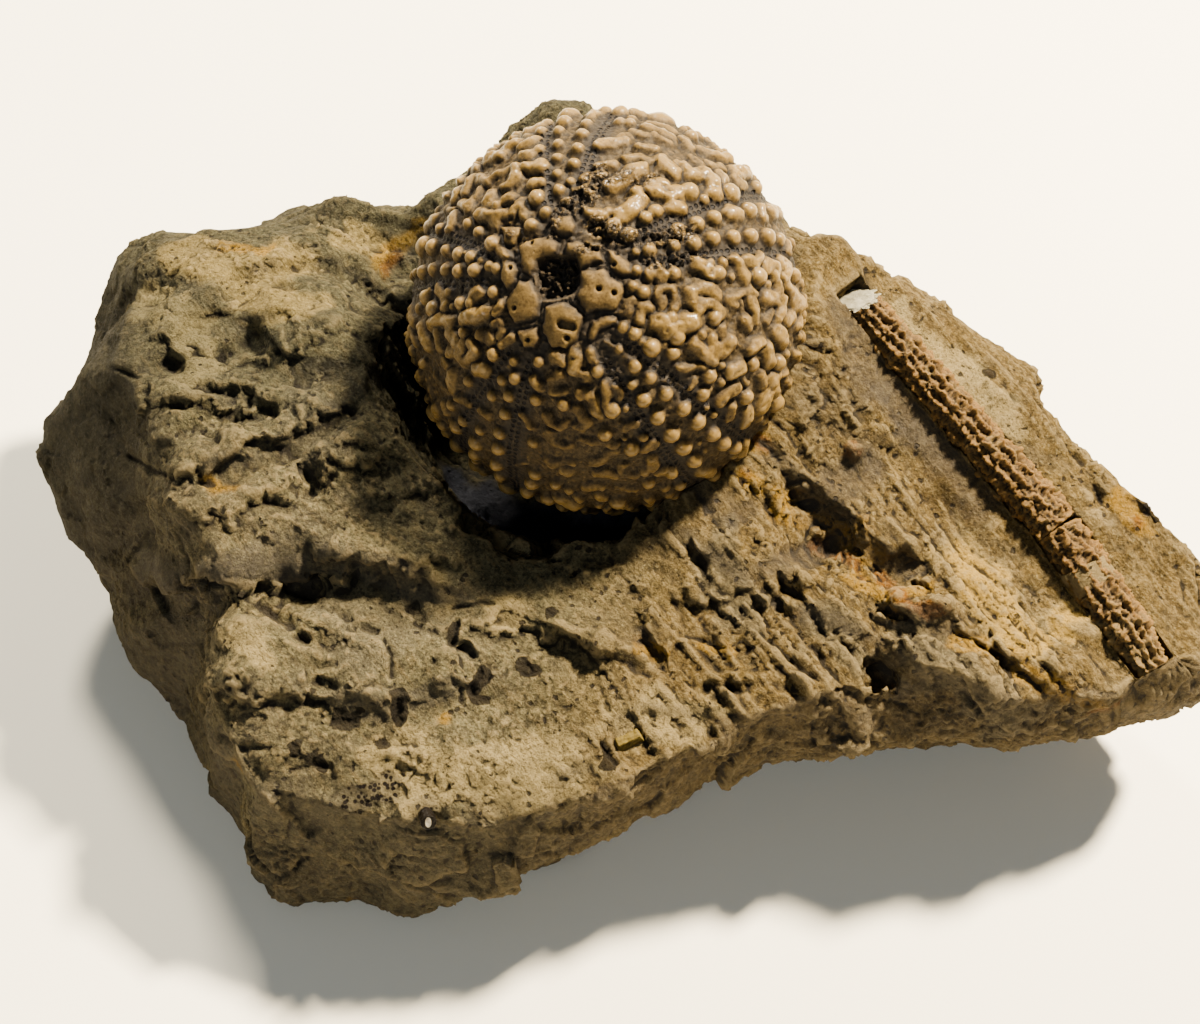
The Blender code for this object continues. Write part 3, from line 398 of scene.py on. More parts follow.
# The block's relief all over, in millimetres for each kind, and how much more of it the rough slope has.
CREST_RELIEF, BED_RELIEF, WOBBLE_RELIEF, STEEP_RELIEF, GROOVE_RELIEF = 0.34, 0.26, 0.05, 0.45, 0.14
BROAD_RELIEF, BROAD_ON_SLOPE = 0.30, 0.14
SMALL_RELIEF, SMALL_ON_SLOPE = 0.11, 0.24
STREAK_RELIEF, STREAK_RIGHT, STREAK_ON_SLOPE = 0.10, 0.12, 0.26
# How far round a line a step in the block reaches, in millimetres.
LEDGE_REACH = 3.2
# The small grains, and how far round each the rock is drawn together to fill its pocket.
POCKETS = (("sea_lily_ossicle", 2.1), ("calcite_chip", 2.6))
POCKET_ROUNDS = 90
# A face of a small grain turned this squarely to the camera belongs to its end.
FACES_EYE = -0.88
# How high over the spine's axis the sediment in the trench stands, with more at the foot and past the top.
TRENCH_FILL, FOOT_FILL, TOP_FILL = 0.25, 0.45, 1.2
# How far under the axis the sediment stays where the spine covers it.
UNDER_SPINE = 0.8
# The rock at the spine's open upper end: how far under the axis it starts, and how far it rises.
RAMP_START, RAMP_RISE = 0.25, 1.6
# The size of the faces that each solid is remade with, and the rounds of smoothing that soften its edges.
BLOCK_FACES, BLOCK_SOFTENING = 0.24, 6
SPINE_FACES, SPINE_SOFTENING = 0.10, 10
GRAIN_FACES, GRAIN_SOFTENING = 0.06, 5
CORE_SLIMMER = 1.75


# ================================================================ helpers


def ray_through(px, py):
    """The direction from the eye through a place in the camera's frame."""
    scale = FRAME_WIDTH * LENS / SENSOR
    across = (px - FRAME_WIDTH / 2) / scale
    up = (FRAME_HEIGHT / 2 - py) / scale
    return (LOOK + Vector((1, 0, 0)) * across + VIEW_UP * up).normalized()


def frame_unit(place):
    """The length, at this place, that one unit of the camera's frame covers."""
    return (Vector(place) - EYE).dot(LOOK) * SENSOR / (FRAME_WIDTH * LENS)


def smoothstep(low, high, value):
    """Eases from 0 at the low value to 1 at the high one."""
    t = np.clip((value - low) / (high - low), 0, 1)
    return t * t * (3 - 2 * t)


def points_of(mesh):
    """The place of each point of a mesh."""
    flat = np.empty(len(mesh.vertices) * 3, np.float32)
    mesh.vertices.foreach_get("co", flat)
    return flat.reshape(-1, 3).astype(float)


def normals_of(mesh):
    """The direction that the surface faces at each point."""
    flat = np.empty(len(mesh.vertices) * 3, np.float32)
    mesh.vertex_normals.foreach_get("vector", flat)
    return flat.reshape(-1, 3).astype(float)


def move_points(mesh, points):
    mesh.vertices.foreach_set("co", points.astype(np.float32).ravel())
    mesh.update()


def turbulence(points, size, octaves=3, start=(0.0, 0.0, 0.0)):
    """Fractal noise about zero, with lumps of the given size."""
    shift = Vector(start)
    return np.array([noise.fractal(Vector(p) / size + shift, 0.9, 2.1, octaves) for p in points])


def creases(points, size, octaves=4, start=(0.0, 0.0, 0.0)):
    """Ridged noise from about 0 in the furrows to 1 on the crests."""
    shift = Vector(start)
    rows = [noise.ridged_multi_fractal(Vector(p) / size + shift, 0.9, 2.1, octaves, 1.0, 2.0) for p in points]
    return np.clip(np.array(rows) / 2.0, 0, 1.3)


def distance_to_line(points, line):
    """How far each point is from a bent line."""
    line = [np.array(corner, float) for corner in line]
    if len(line) == 1:
        line = line * 2
    nearest = np.full(len(points), 1e9)
    for start, end in zip(line, line[1:]):
        along = end - start
        share = np.clip(((points - start) @ along) / max(along @ along, 1e-9), 0, 1)
        nearest = np.minimum(nearest, np.linalg.norm(points - start - share[:, None] * along, axis=1))
    return nearest


def near(points, line, reach):
    """The indices of the points in the box round a line, and how far each is from it."""
    corners = np.array([list(corner) for corner in line])
    inside = ((points >= corners.min(axis=0) - reach) & (points <= corners.max(axis=0) + reach)).all(axis=1)
    close = np.flatnonzero(inside)
    return close, distance_to_line(points[close], line)


def depth_inside(points, outline):
    """How far inside a flat closed outline each point is; below 0 outside."""
    corners = [np.array(corner[:2], float) for corner in outline]
    nearest = distance_to_line(points, corners + corners[:1])
    inside = np.zeros(len(points), bool)
    for start, end in zip(corners, corners[1:] + corners[:1]):
        crosses = (start[1] > points[:, 1]) != (end[1] > points[:, 1])
        rise = end[1] - start[1] if abs(end[1] - start[1]) > 1e-9 else 1e-9
        at = start[0] + (points[:, 1] - start[1]) / rise * (end[0] - start[0])
        inside ^= crosses & (points[:, 0] < at)
    return np.where(inside, nearest, -nearest)


def soft_max(first, second, blend):
    """The greater of two heights, with the crease between them filled."""
    share = np.clip(0.5 + 0.5 * (second - first) / blend, 0, 1)
    return first * (1 - share) + second * share + blend * share * (1 - share)


def finish_mesh(obj):
    """Brings a mesh from millimetres to metres."""
    obj.data.transform(Matrix.Scale(MM, 4))
    obj.data.shade_smooth()
    return obj


def edges_of(mesh):
    """The two ends of each edge."""
    ends = np.empty(len(mesh.edges) * 2, np.int32)
    mesh.edges.foreach_get("vertices", ends)
    return ends.reshape(-1, 2)


def neighbour_mean(values, ends, count):
    """Each point's value averaged with those that it shares an edge with."""
    one, other = ends.T
    total = np.bincount(one, values[other], count) + np.bincount(other, values[one], count)
    number = np.bincount(one, None, count) + np.bincount(other, None, count)
    return (total + values) / (number + 1)


def hollowness(mesh, rounds):
    """How deep each point lies under the points round it, in millimetres; below 0 on an edge or a crest."""
    points = points_of(mesh)
    ends = edges_of(mesh)
    mean = points.copy()
    for _ in range(rounds):
        mean = np.column_stack([neighbour_mean(mean[:, axis], ends, len(points)) for axis in range(3)])
    return ((mean - points) * normals_of(mesh)).sum(axis=1)


def object_of(name, bm):
    """A new object of the scene, made from a bmesh."""
    mesh = bpy.data.meshes.new(name)
    bm.to_mesh(mesh)
    bm.free()
    obj = bpy.data.objects.new(name, mesh)
    bpy.context.scene.collection.objects.link(obj)
    return obj


def bake_modifiers(obj):
    """Puts the result of the object's modifiers in its mesh."""
    graph = bpy.context.evaluated_depsgraph_get()
    mesh = bpy.data.meshes.new_from_object(obj.evaluated_get(graph))
    obj.modifiers.clear()
    obj.data = mesh


def simplify(obj, most_triangles=MOST_TRIANGLES):
    """Collapses the flattest places until the mesh has at most this many triangles."""
    triangles = sum(len(face.vertices) - 2 for face in obj.data.polygons)
    if triangles > most_triangles:
        collapse = obj.modifiers.new("Simplify", "DECIMATE")
        collapse.ratio = most_triangles / triangles
        bake_modifiers(obj)


def set_attributes(mesh, **lists):
    """Stores lists of one value for each point on the mesh, for its material to read."""
    for name, values in lists.items():
        made = mesh.attributes.new(name, "FLOAT", "POINT")
        made.data.foreach_set("value", np.asarray(values, np.float32))


def copy_of_node(name):
    """The solid's mesh in millimetres, merged into one surface."""
    bm = bmesh.new()
    bm.from_mesh(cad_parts[name].data)
    bmesh.ops.scale(bm, vec=(1 / MM, 1 / MM, 1 / MM), verts=bm.verts)
    bmesh.ops.remove_doubles(bm, verts=bm.verts, dist=0.001)
    return bm


def evened(name, node, faces, softening):
    """A copy of the solid, remade with small even faces and with its edges softened."""
    piece = object_of(name, copy_of_node(node))
    remesh = piece.modifiers.new("Even", "REMESH")
    remesh.mode = "VOXEL"
    remesh.voxel_size = faces
    bake_modifiers(piece)
    smooth = piece.modifiers.new("Smooth", "SMOOTH")
    smooth.factor = 0.5
    smooth.iterations = softening
    bake_modifiers(piece)
    return piece


# ================================================================ the test


def test_matrix():
    """Turns and moves the test's own axes, with its apex up, to where it sits."""
    across = (Vector((1, 0, 0)) - TEST_AXIS * TEST_AXIS.x).normalized()
    axes = Matrix((across, TEST_AXIS.cross(across), TEST_AXIS)).transposed().to_4x4()
    return Matrix.Translation(TEST_CENTRE) @ axes


def on_test(polar, azimuth):
    """A place on the smooth test, from degrees off its apex and degrees round it."""
    p, a = math.radians(polar), math.radians(azimuth)
    depth = TEST_DOME if p < math.pi / 2 else TEST_UNDERSIDE
    return Vector((
        TEST_RADIUS * math.sin(p) * math.cos(a), TEST_RADIUS * math.sin(p) * math.sin(a), depth * math.cos(p)
    ))


def test_place(px, py, lift=0.35):
    """The place on the smooth test, in its own axes, under what shows at a place in the camera's frame."""
    inverse = test_matrix().inverted()
    start = inverse @ EYE
    way = inverse.to_3x3() @ ray_through(px, py)
    squash = Vector((1 / (TEST_RADIUS + lift), 1 / (TEST_RADIUS + lift), 1 / (TEST_DOME + lift)))
    a, b = start * squash, way * squash
    half, reach = a.dot(b), b.dot(b)
    inside = half * half - reach * (a.dot(a) - 1)
    seen = start + way * ((-half - math.sqrt(max(inside, 0.0))) / reach)
    unit = (seen * squash).normalized()
    return Vector((unit.x * TEST_RADIUS, unit.y * TEST_RADIUS, unit.z * TEST_DOME))


def knob_height(radius):
    return min(KNOB_HEIGHT * radius, TALLEST_KNOB)


def seen_knobs():
    """The knobs that are placed one by one: the line each runs along, its radius and its height."""
    knobs = []
    unit = frame_unit(test_matrix() @ on_test(0, 0))
    for radius, *places in SEEN_KNOBS:
        line = [test_place(*place) for place in places]
        single = len(line) == 1
        steep = 1 + STEEP_WIDER * (1 - facing_share(line[0]))
        size = (SINGLE_WIDER if single else RIDGE_WIDER) * steep * radius * unit
        knobs.append((line, size, knob_height(size) * (1.0 if single else RIDGE_LOWER)))
    return knobs


def facing_share(place):
    """How squarely a place on the test faces the camera: 1 straight on, 0 edge on, below 0 turned away."""
    outward = Vector((place.x / TEST_RADIUS**2, place.y / TEST_RADIUS**2, place.z / TEST_DOME**2))
    outward.normalize()
    at = test_matrix() @ place
    return (test_matrix().to_3x3() @ outward).dot((EYE - at).normalized())


def column_knobs():
    """The two columns of beads in each ambulacrum, and the column on each side of it."""
    knobs = []
    for middle in AMBULACRA:
        for side in (-1, 1):
            for row in range(COLUMN_ROWS):
                polar = FIRST_ROW + COLUMN_STEP * row + COLUMN_LAG * (side > 0)
                bead = BEAD_RADIUS + 0.05 * noise.noise(Vector((middle, row * 1.7, side)))
                knobs.append(([on_test(polar, middle + side * COLUMN_OFFSET)], bead, knob_height(bead)))
                wobble = noise.noise(Vector((middle + 7, row * 2.3, side)))
                beside = on_test(polar + 2 * wobble, middle + side * (BESIDE_OFFSET + 1.5 * wobble))
                knobs.append(([beside], BESIDE_RADIUS, BESIDE_HEIGHT))
    return knobs


def area_knobs():
    """The short bent ridges between the ambulacra."""
    knobs = []
    for middle, after in zip(AMBULACRA, AMBULACRA[1:] + (AMBULACRA[0] + 360,)):
        between = (middle + after) / 2
        for row in range(AREA_ROWS):
            for column in AREA_COLUMNS:
                wobble = noise.noise(Vector((between + 0.5, row * 1.9 + 0.3, column * 2.3)))
                bend = 2.6 * noise.noise(Vector((between + 9.5, row * 2.7 + 0.3, column * 1.3)))
                polar = FIRST_ROW + AREA_STEP * row + 0.5 * AREA_STEP * (column % 2) + 1.6 * wobble
                azimuth = between + column * AREA_COLUMN_STEP + 1.2 * bend
                line = [on_test(polar, azimuth)]
                if bend > -0.3:
                    line.append(on_test(polar + 2.6 * math.cos(0.5 * bend), azimuth + 2.2 * math.sin(bend)))
                size = AREA_RADIUS + 0.12 * wobble
                knobs.append((line, size, knob_height(size)))
    return knobs


def knobs_by_rule(seen):
    """The knobs that follow a rule, where the test turns away from the camera and no other stands."""
    taken = np.array([list(place) for line, _, _ in seen for place in line])
    kept = []
    for line, size, height in column_knobs() + area_knobs():
        facing = max(facing_share(place) for place in line)
        gap = min(np.linalg.norm(taken - np.array(place), axis=1).min() for place in line)
        if facing < MOST_FACING and gap > (ROOM_HIDDEN if facing < HIDDEN_FACING else ROOM_SEEN):
            kept.append((line, size, height))
    return kept


def noise_moved(points, size, reach, start):
    """The points moved about by noise, so that what is measured from them has crooked edges."""
    shift = Vector(start)
    moves = np.array([noise.noise_vector(Vector(p) / size + shift)[:] for p in points])
    return points + reach * moves


def knob_rise(points, knobs):
    """The height of the knobs, crooked and uneven, each with a low foot that joins it to its neighbours."""
    rise = np.zeros(len(points))
    foot = np.zeros(len(points))
    wobble = turbulence(points, 0.7, 3, (3.0, 1.0, 2.0))
    crooked = noise_moved(points, 0.9, 0.24, (5.0, 3.0, 1.0))
    for line, radius, height in knobs:
        single = len(line) == 1
        close, away = near(points if single else crooked, line, 1.7 * radius)
        share = away / radius * (1 + (0.10 if single else 0.20) * wobble[close])
        bulge = height * (1 + (0.0 if single else 0.30) * wobble[close])
        bulge *= np.sqrt(np.clip(1 - share**2, 0, 1))
        blend = 0.02 + 0.25 * np.minimum(bulge, rise[close])
        rise[close] = np.where(bulge > 0, soft_max(rise[close], bulge, blend), rise[close])
        foot[close] = np.maximum(foot[close], 0.30 * height * (1 - smoothstep(0.7, 1.65, share)))
    return soft_max(rise, foot, 0.10)


def plate_rise(points):
    """The crowned plates round the apex, the grooves between them and the hole in the middle."""
    flat = points[:, :2]
    facing = points[:, 2] > 0
    rise = np.zeros(len(points))
    plate = np.zeros(len(points))
    groove = np.zeros(len(points))
    for height, outline in APICAL_PLATES.values():
        depth = depth_inside(flat, [test_place(*place, lift=0.2) for place in outline])
        depth = depth + 0.16 * turbulence(points, 0.8, 2) - 0.04
        crown = np.clip(depth / 1.05, 0, 1)
        rise = np.maximum(rise, np.where(facing, height * np.sqrt(np.clip(1 - (1 - crown) ** 2.4, 0, 1)), 0))
        plate = np.maximum(plate, np.where(facing, smoothstep(0.05, 0.30, depth), 0))
        groove = np.maximum(groove, np.where(facing, 1 - smoothstep(0.03, 0.16, np.abs(depth + 0.02)), 0))
    hole = depth_inside(flat, [test_place(*place, lift=0.0) for place in HOLE_OUTLINE])
    hole = np.where(facing, smoothstep(-0.12, 0.30, hole), 0)
    return 1.2 * rise, plate, groove, hole


def patch_share(points, patches, unit):
    """How much of each point lies under patches that run through named places."""
    share = np.zeros(len(points))
    for radius, *places in patches:
        reach = radius * unit
        close, away = near(points, [test_place(*place) for place in places], reach)
        share[close] = np.maximum(share[close], 1 - smoothstep(0.45, 1.0, away / reach))
    return share


def pore_places(points):
    """For each point: how far along the nearest row of pores it is, how far off, and whether in one."""
    azimuth = np.degrees(np.arctan2(points[:, 1], points[:, 0]))
    depth = np.where(points[:, 2] > 0, TEST_DOME, TEST_UNDERSIDE)
    polar = np.degrees(np.arctan2(np.hypot(points[:, 0], points[:, 1]) / TEST_RADIUS, points[:, 2] / depth))
    turn = np.array([(azimuth - middle + 180) % 360 - 180 for middle in AMBULACRA])
    nearest = turn[np.abs(turn).argmin(axis=0), np.arange(len(points))]
    across = np.radians(np.abs(nearest) - PORE_OFFSET) * TEST_RADIUS * np.sin(np.radians(polar))
    along = np.radians(polar) * (TEST_RADIUS + TEST_DOME) / 2
    row = 1 - smoothstep(0.34, 0.52, np.abs(across))
    row *= smoothstep(21, 25, polar) * (1 - smoothstep(100, 112, polar))
    return along, across, row


def test_sides(way):
    """The test's half-lengths along its three axes, for each direction from its middle."""
    wide = np.full(len(way), TEST_RADIUS)
    return np.column_stack([wide, wide, np.where(way[:, 2] > 0, TEST_DOME, TEST_UNDERSIDE)])


def make_test():
    """The test: a smooth dome, pushed out into knobs and plates and in at its pits and its opening."""
    bm = bmesh.new()
    bmesh.ops.create_icosphere(bm, subdivisions=8, radius=1.0)
    test = object_of("fossil_test", bm)
    way = points_of(test.data)
    # More of the sphere's faces go to the half that shows.
    way = way / np.linalg.norm(way, axis=1, keepdims=True) + np.array([0.0, -0.10, 0.30])
    way /= np.linalg.norm(way, axis=1, keepdims=True)
    sides = test_sides(way)
    points = way * sides
    outward = way / sides
    outward /= np.linalg.norm(outward, axis=1, keepdims=True)

    unit = frame_unit(test_matrix() @ on_test(0, 0))
    shows = smoothstep(-6.2, -4.8, points[:, 2])
    seen = seen_knobs()
    knob = knob_rise(points, seen + knobs_by_rule(seen)) * shows
    plates, plate, groove, hole = plate_rise(points)
    crust = patch_share(points, SEDIMENT_PATCHES, unit)
    pits = patch_share(points, PLATE_PITS, unit * 1.5)
    bare = 1 - smoothstep(0.10, 0.35, knob + plates)
    fine = turbulence(points, 0.55, 3)
    coarse = turbulence(points, 2.6, 2, (4.0, 2.0, 7.0))
    grains = np.clip(turbulence(points, 0.34, 2, (9.0, 9.0, 1.0)), -0.6, 1.0)
    floor = 0.55 * smoothstep(-0.3, 0.6, grains) * smoothstep(0.4, 1.0, hole)
    push = np.maximum(knob, plates) - 0.08 * groove * (1 - plate)
    push += (0.045 * fine + 0.10 * coarse + 0.12 * bare * grains) * shows
    push += crust * (0.10 + 0.34 * grains) * (1 - 0.6 * smoothstep(0.3, 0.6, knob))
    push -= hole * HOLE_DEPTH + 0.32 * pits
    push += floor
    points += outward * push[:, None]
    move_points(test.data, points)
    set_attributes(
        test.data,
        knob=np.clip((knob - 0.14) / 0.42, 0, 1),
        plate=plate * (1 - hole),
        groove=groove * (1 - plate) * (1 - hole),
        hole=np.clip(hole + pits, 0, 1),
        crust=np.clip(crust + hole, 0, 1),
        hollow=hollowness(test.data, 3) / 0.07,
    )
    simplify(test)
    # The rows of pores are laid out once the mesh has its last points.
    along, across, row = pore_places(points_of(test.data))
    set_attributes(test.data, pore_along=along, pore_across=across, pore_row=row)
    test.data.transform(test_matrix())
    return finish_mesh(test)


# ================================================================ the block


def block_tree():
    """The block's solid, ready for rays to be cast at it."""
    bm = copy_of_node("limestone_block")
    tree = BVHTree.FromBMesh(bm)
    bm.free()
    return tree


def block_places(tree, places):
    """Where the named places of the camera's frame lie on the block."""
    found = []
    for px, py in places:
        spot = tree.ray_cast(EYE, ray_through(px, py))[0]
        if spot:
            found.append(spot)
    return found


def stretched(points, way, stretch):
    """The points squeezed along one direction, so that noise on them runs in streaks that way."""
    way = np.array(Vector(way).normalized())
    along = points @ way
    return points - np.outer(along * (1 - 1 / stretch), way)


def chips(points, size, tilt, start, step=0.35):
    """Flat broken facets about as wide as the size, each tilted its own way, with steps between them."""
    shift = Vector(start)
    rows = np.empty(len(points))
    for i, p in enumerate(points):
        q = Vector(p) / size + shift
        centre = noise.voronoi(q)[1][0]
        rows[i] = noise.noise_vector(centre * 3.7).dot(q - centre) * tilt + step * noise.noise(centre * 5.1)
    return rows * size


def stroke(points, spots, reach, wobble):
    """The points near a line through the spots, and their share of it: 1 on the line, 0 at its edge."""
    close, away = near(points, spots, 1.4 * reach)
    return close, np.clip(1 - away * (1 + 0.75 * wobble[close]) / reach, 0, 1)


def painted(points, tree, areas, wobble):
    """The share of colour that a list of soft regions gives each point."""
    share = np.zeros(len(points))
    for radius, *places in areas:
        spots = block_places(tree, places)
        if spots:
            reach = 1.3 * radius * frame_unit(spots[0])
            close, inward = stroke(points, spots, reach, wobble)
            share[close] = np.maximum(share[close], smoothstep(0.0, 0.6, inward))
    return share


def layers(points, way, spacing, warp):
    """Broken edges of beds, from -0.5 to 0.5: each rises slowly and ends in a sharp step."""
    share = (points @ np.array(Vector(way).normalized()) + warp) / spacing % 1.0
    return share**1.6 - 0.5


def broken_relief(points, tree, wobble, small):
    """The hollows, lumps, cracks and steps that are placed one by one."""
    push = np.zeros(len(points))
    for sign, widen, features in ((-1, 1.3, HOLLOWS), (1, 1.3, LUMPS), (-1, 1.7, CRACKS)):
        for radius, depth, *places in features:
            spots = block_places(tree, places)
            if spots:
                reach = widen * radius * frame_unit(spots[0])
                close, inward = stroke(points, spots, reach, wobble)
                inward = np.where(inward > 0, inward + 0.25 * small[close], 0)
                push[close] += sign * HOLLOW_SHARE * depth * smoothstep(0.0, 0.85, inward)
    for drop, *places in LEDGES:
        spots = block_places(tree, places)
        close, away = near(points, spots, LEDGE_REACH)
        middle = np.mean([list(spot) for spot in spots], axis=0)
        forward = points[close, 1] - np.interp(points[close, 0], [s.x for s in spots], [s.y for s in spots])
        edge = smoothstep(-0.25, 0.25, -forward + 1.2 * wobble[close])
        fade = 1 - smoothstep(1.0, LEDGE_REACH, away)
        lift = np.where(points[close, 2] > middle[2] - 4, 1.0, 0.0)
        push[close] += drop * fade * lift * (0.5 - edge)
    return push


def spine_gap(points):
    """How far each point is from the spine's surface, below 0 inside it, and the way towards the spine."""
    gap = np.full(len(points), 1e9)
    way = np.zeros_like(points)
    upper = (SPINE_TOP, SPINE_BREAK, SPINE_RADII[:2])
    lower = (SPINE_BREAK, SPINE_FOOT, SPINE_RADII[1:])
    for start, end, radii in (upper, lower):
        along = np.array(end - start)
        share = (points - np.array(start)) @ along / (along @ along)
        held = np.clip(share, 0, 1)
        outward = points - np.array(start) - share[:, None] * along
        away = np.linalg.norm(outward, axis=1)
        radius = radii[0] + (radii[1] - radii[0]) * held
        nearest = np.array(start) + held[:, None] * along
        nearest += outward * (np.minimum(away, radius) / np.maximum(away, 1e-6))[:, None]
        inside = (away < radius) & (share == held)
        here = np.where(inside, away - radius, np.linalg.norm(nearest - points, axis=1))
        towards = np.where(inside[:, None], -outward, nearest - points)
        towards /= np.maximum(np.linalg.norm(towards, axis=1), 1e-6)[:, None]
        nearer = here < gap
        gap = np.where(nearer, here, gap)
        way[nearer] = towards[nearer]
    return gap, way


def test_gap(points):
    """How far each point is from the smooth test, and the way to it."""
    matrix = np.array(test_matrix())
    own = (points - matrix[:3, 3]) @ matrix[:3, :3]
    size = np.linalg.norm(own / test_sides(own), axis=1)
    away = np.linalg.norm(own, axis=1)
    gap = away * (1 - 1 / np.maximum(size, 1e-6))
    return gap, -(own / np.maximum(away, 1e-6)[:, None]) @ matrix[:3, :3].T


def close_seats(points, wobble):
    """Draws the rock in round the test and the spine, as sediment holds them."""
    gap, way = test_gap(points)
    share = 1 - smoothstep(1.3, 2.3, gap)
    points = points + way * (np.clip(gap - 0.10, 0, None) * share)[:, None]
    # Sediment fills the trench beside the spine, and buries its foot.
    for start, end in ((SPINE_TOP, SPINE_BREAK), (SPINE_BREAK, SPINE_FOOT)):
        along = np.array(end - start)
        share = ((points - np.array(start)) @ along) / (along @ along)
        past = np.clip(share, -0.10, 1.10)
        axis = np.array(start) + past[:, None] * along
        beside = np.hypot(points[:, 0] - axis[:, 0], points[:, 1] - axis[:, 1])
        on_slope = (points - axis) @ np.cross(along, (0, 0, 1)) > 0
        top_end = smoothstep(-0.02, 0.01, -share) * (start == SPINE_TOP)
        foot = smoothstep(0.5, 1.0, share) * (end == SPINE_FOOT)
        beyond = np.maximum(top_end, smoothstep(0.0, 0.05, share - 1) * (end == SPINE_FOOT))
        bank = TRENCH_FILL + FOOT_FILL * foot + TOP_FILL * top_end
        under = (1 - smoothstep(1.1, 1.7, beside)) * (1 - beyond)
        level = axis[:, 2] + bank - (bank + UNDER_SPINE) * under
        level += 0.35 * wobble * (1 - under) - 0.40 * np.clip(beside - 1.6, 0, None)
        short = np.clip(level - points[:, 2], 0, None)
        wall = smoothstep(1.6, 3.2, short) * smoothstep(0.85, 1.0, share) * (end == SPINE_FOOT)
        wall = np.maximum(wall, smoothstep(7.0, 9.0, short))
        fade = np.where(on_slope, smoothstep(3.2, 5.6, beside), smoothstep(1.9, 2.8, beside))
        points[:, 2] += short * (1 - wall) * (1 - fade)
        if start == SPINE_TOP:
            # The rock slopes down to the spine's broken upper end, which lies open.
            ramp = axis[:, 2] - RAMP_START + RAMP_RISE * smoothstep(0.0, 0.10, -share) + 0.15 * wobble
            open_end = (1 - smoothstep(1.2, 2.4, beside)) * (share < 0.03) * (share > -0.12)
            open_end *= points[:, 2] > ramp - 4
            points[:, 2] += (ramp - points[:, 2]) * open_end
    gap, way = spine_gap(points)
    share = 0.85 * (1 - smoothstep(1.0, 1.9, gap))
    along = np.where(gap < 0.05, gap - 0.05, (gap - 0.05) * share)
    return points + way * along[:, None]


def fill_pocket(points, ends, node, reach):
    """Spans the pocket of a small grain with rock, so that the grain stands in it with no gap."""
    bm = copy_of_node(node)
    middle = np.mean([list(vert.co) for vert in bm.verts], axis=0)
    bm.free()
    away = np.linalg.norm(points - middle, axis=1)
    close = away < reach
    number = np.cumsum(close) - 1
    inner = number[ends[close[ends].all(axis=1)]]
    patch = points[close]
    held = away[close] > reach - 0.5
    for _ in range(POCKET_ROUNDS):
        mean = np.column_stack([neighbour_mean(patch[:, axis], inner, len(patch)) for axis in range(3)])
        patch = np.where(held[:, None], patch, mean)
    points[close] = patch


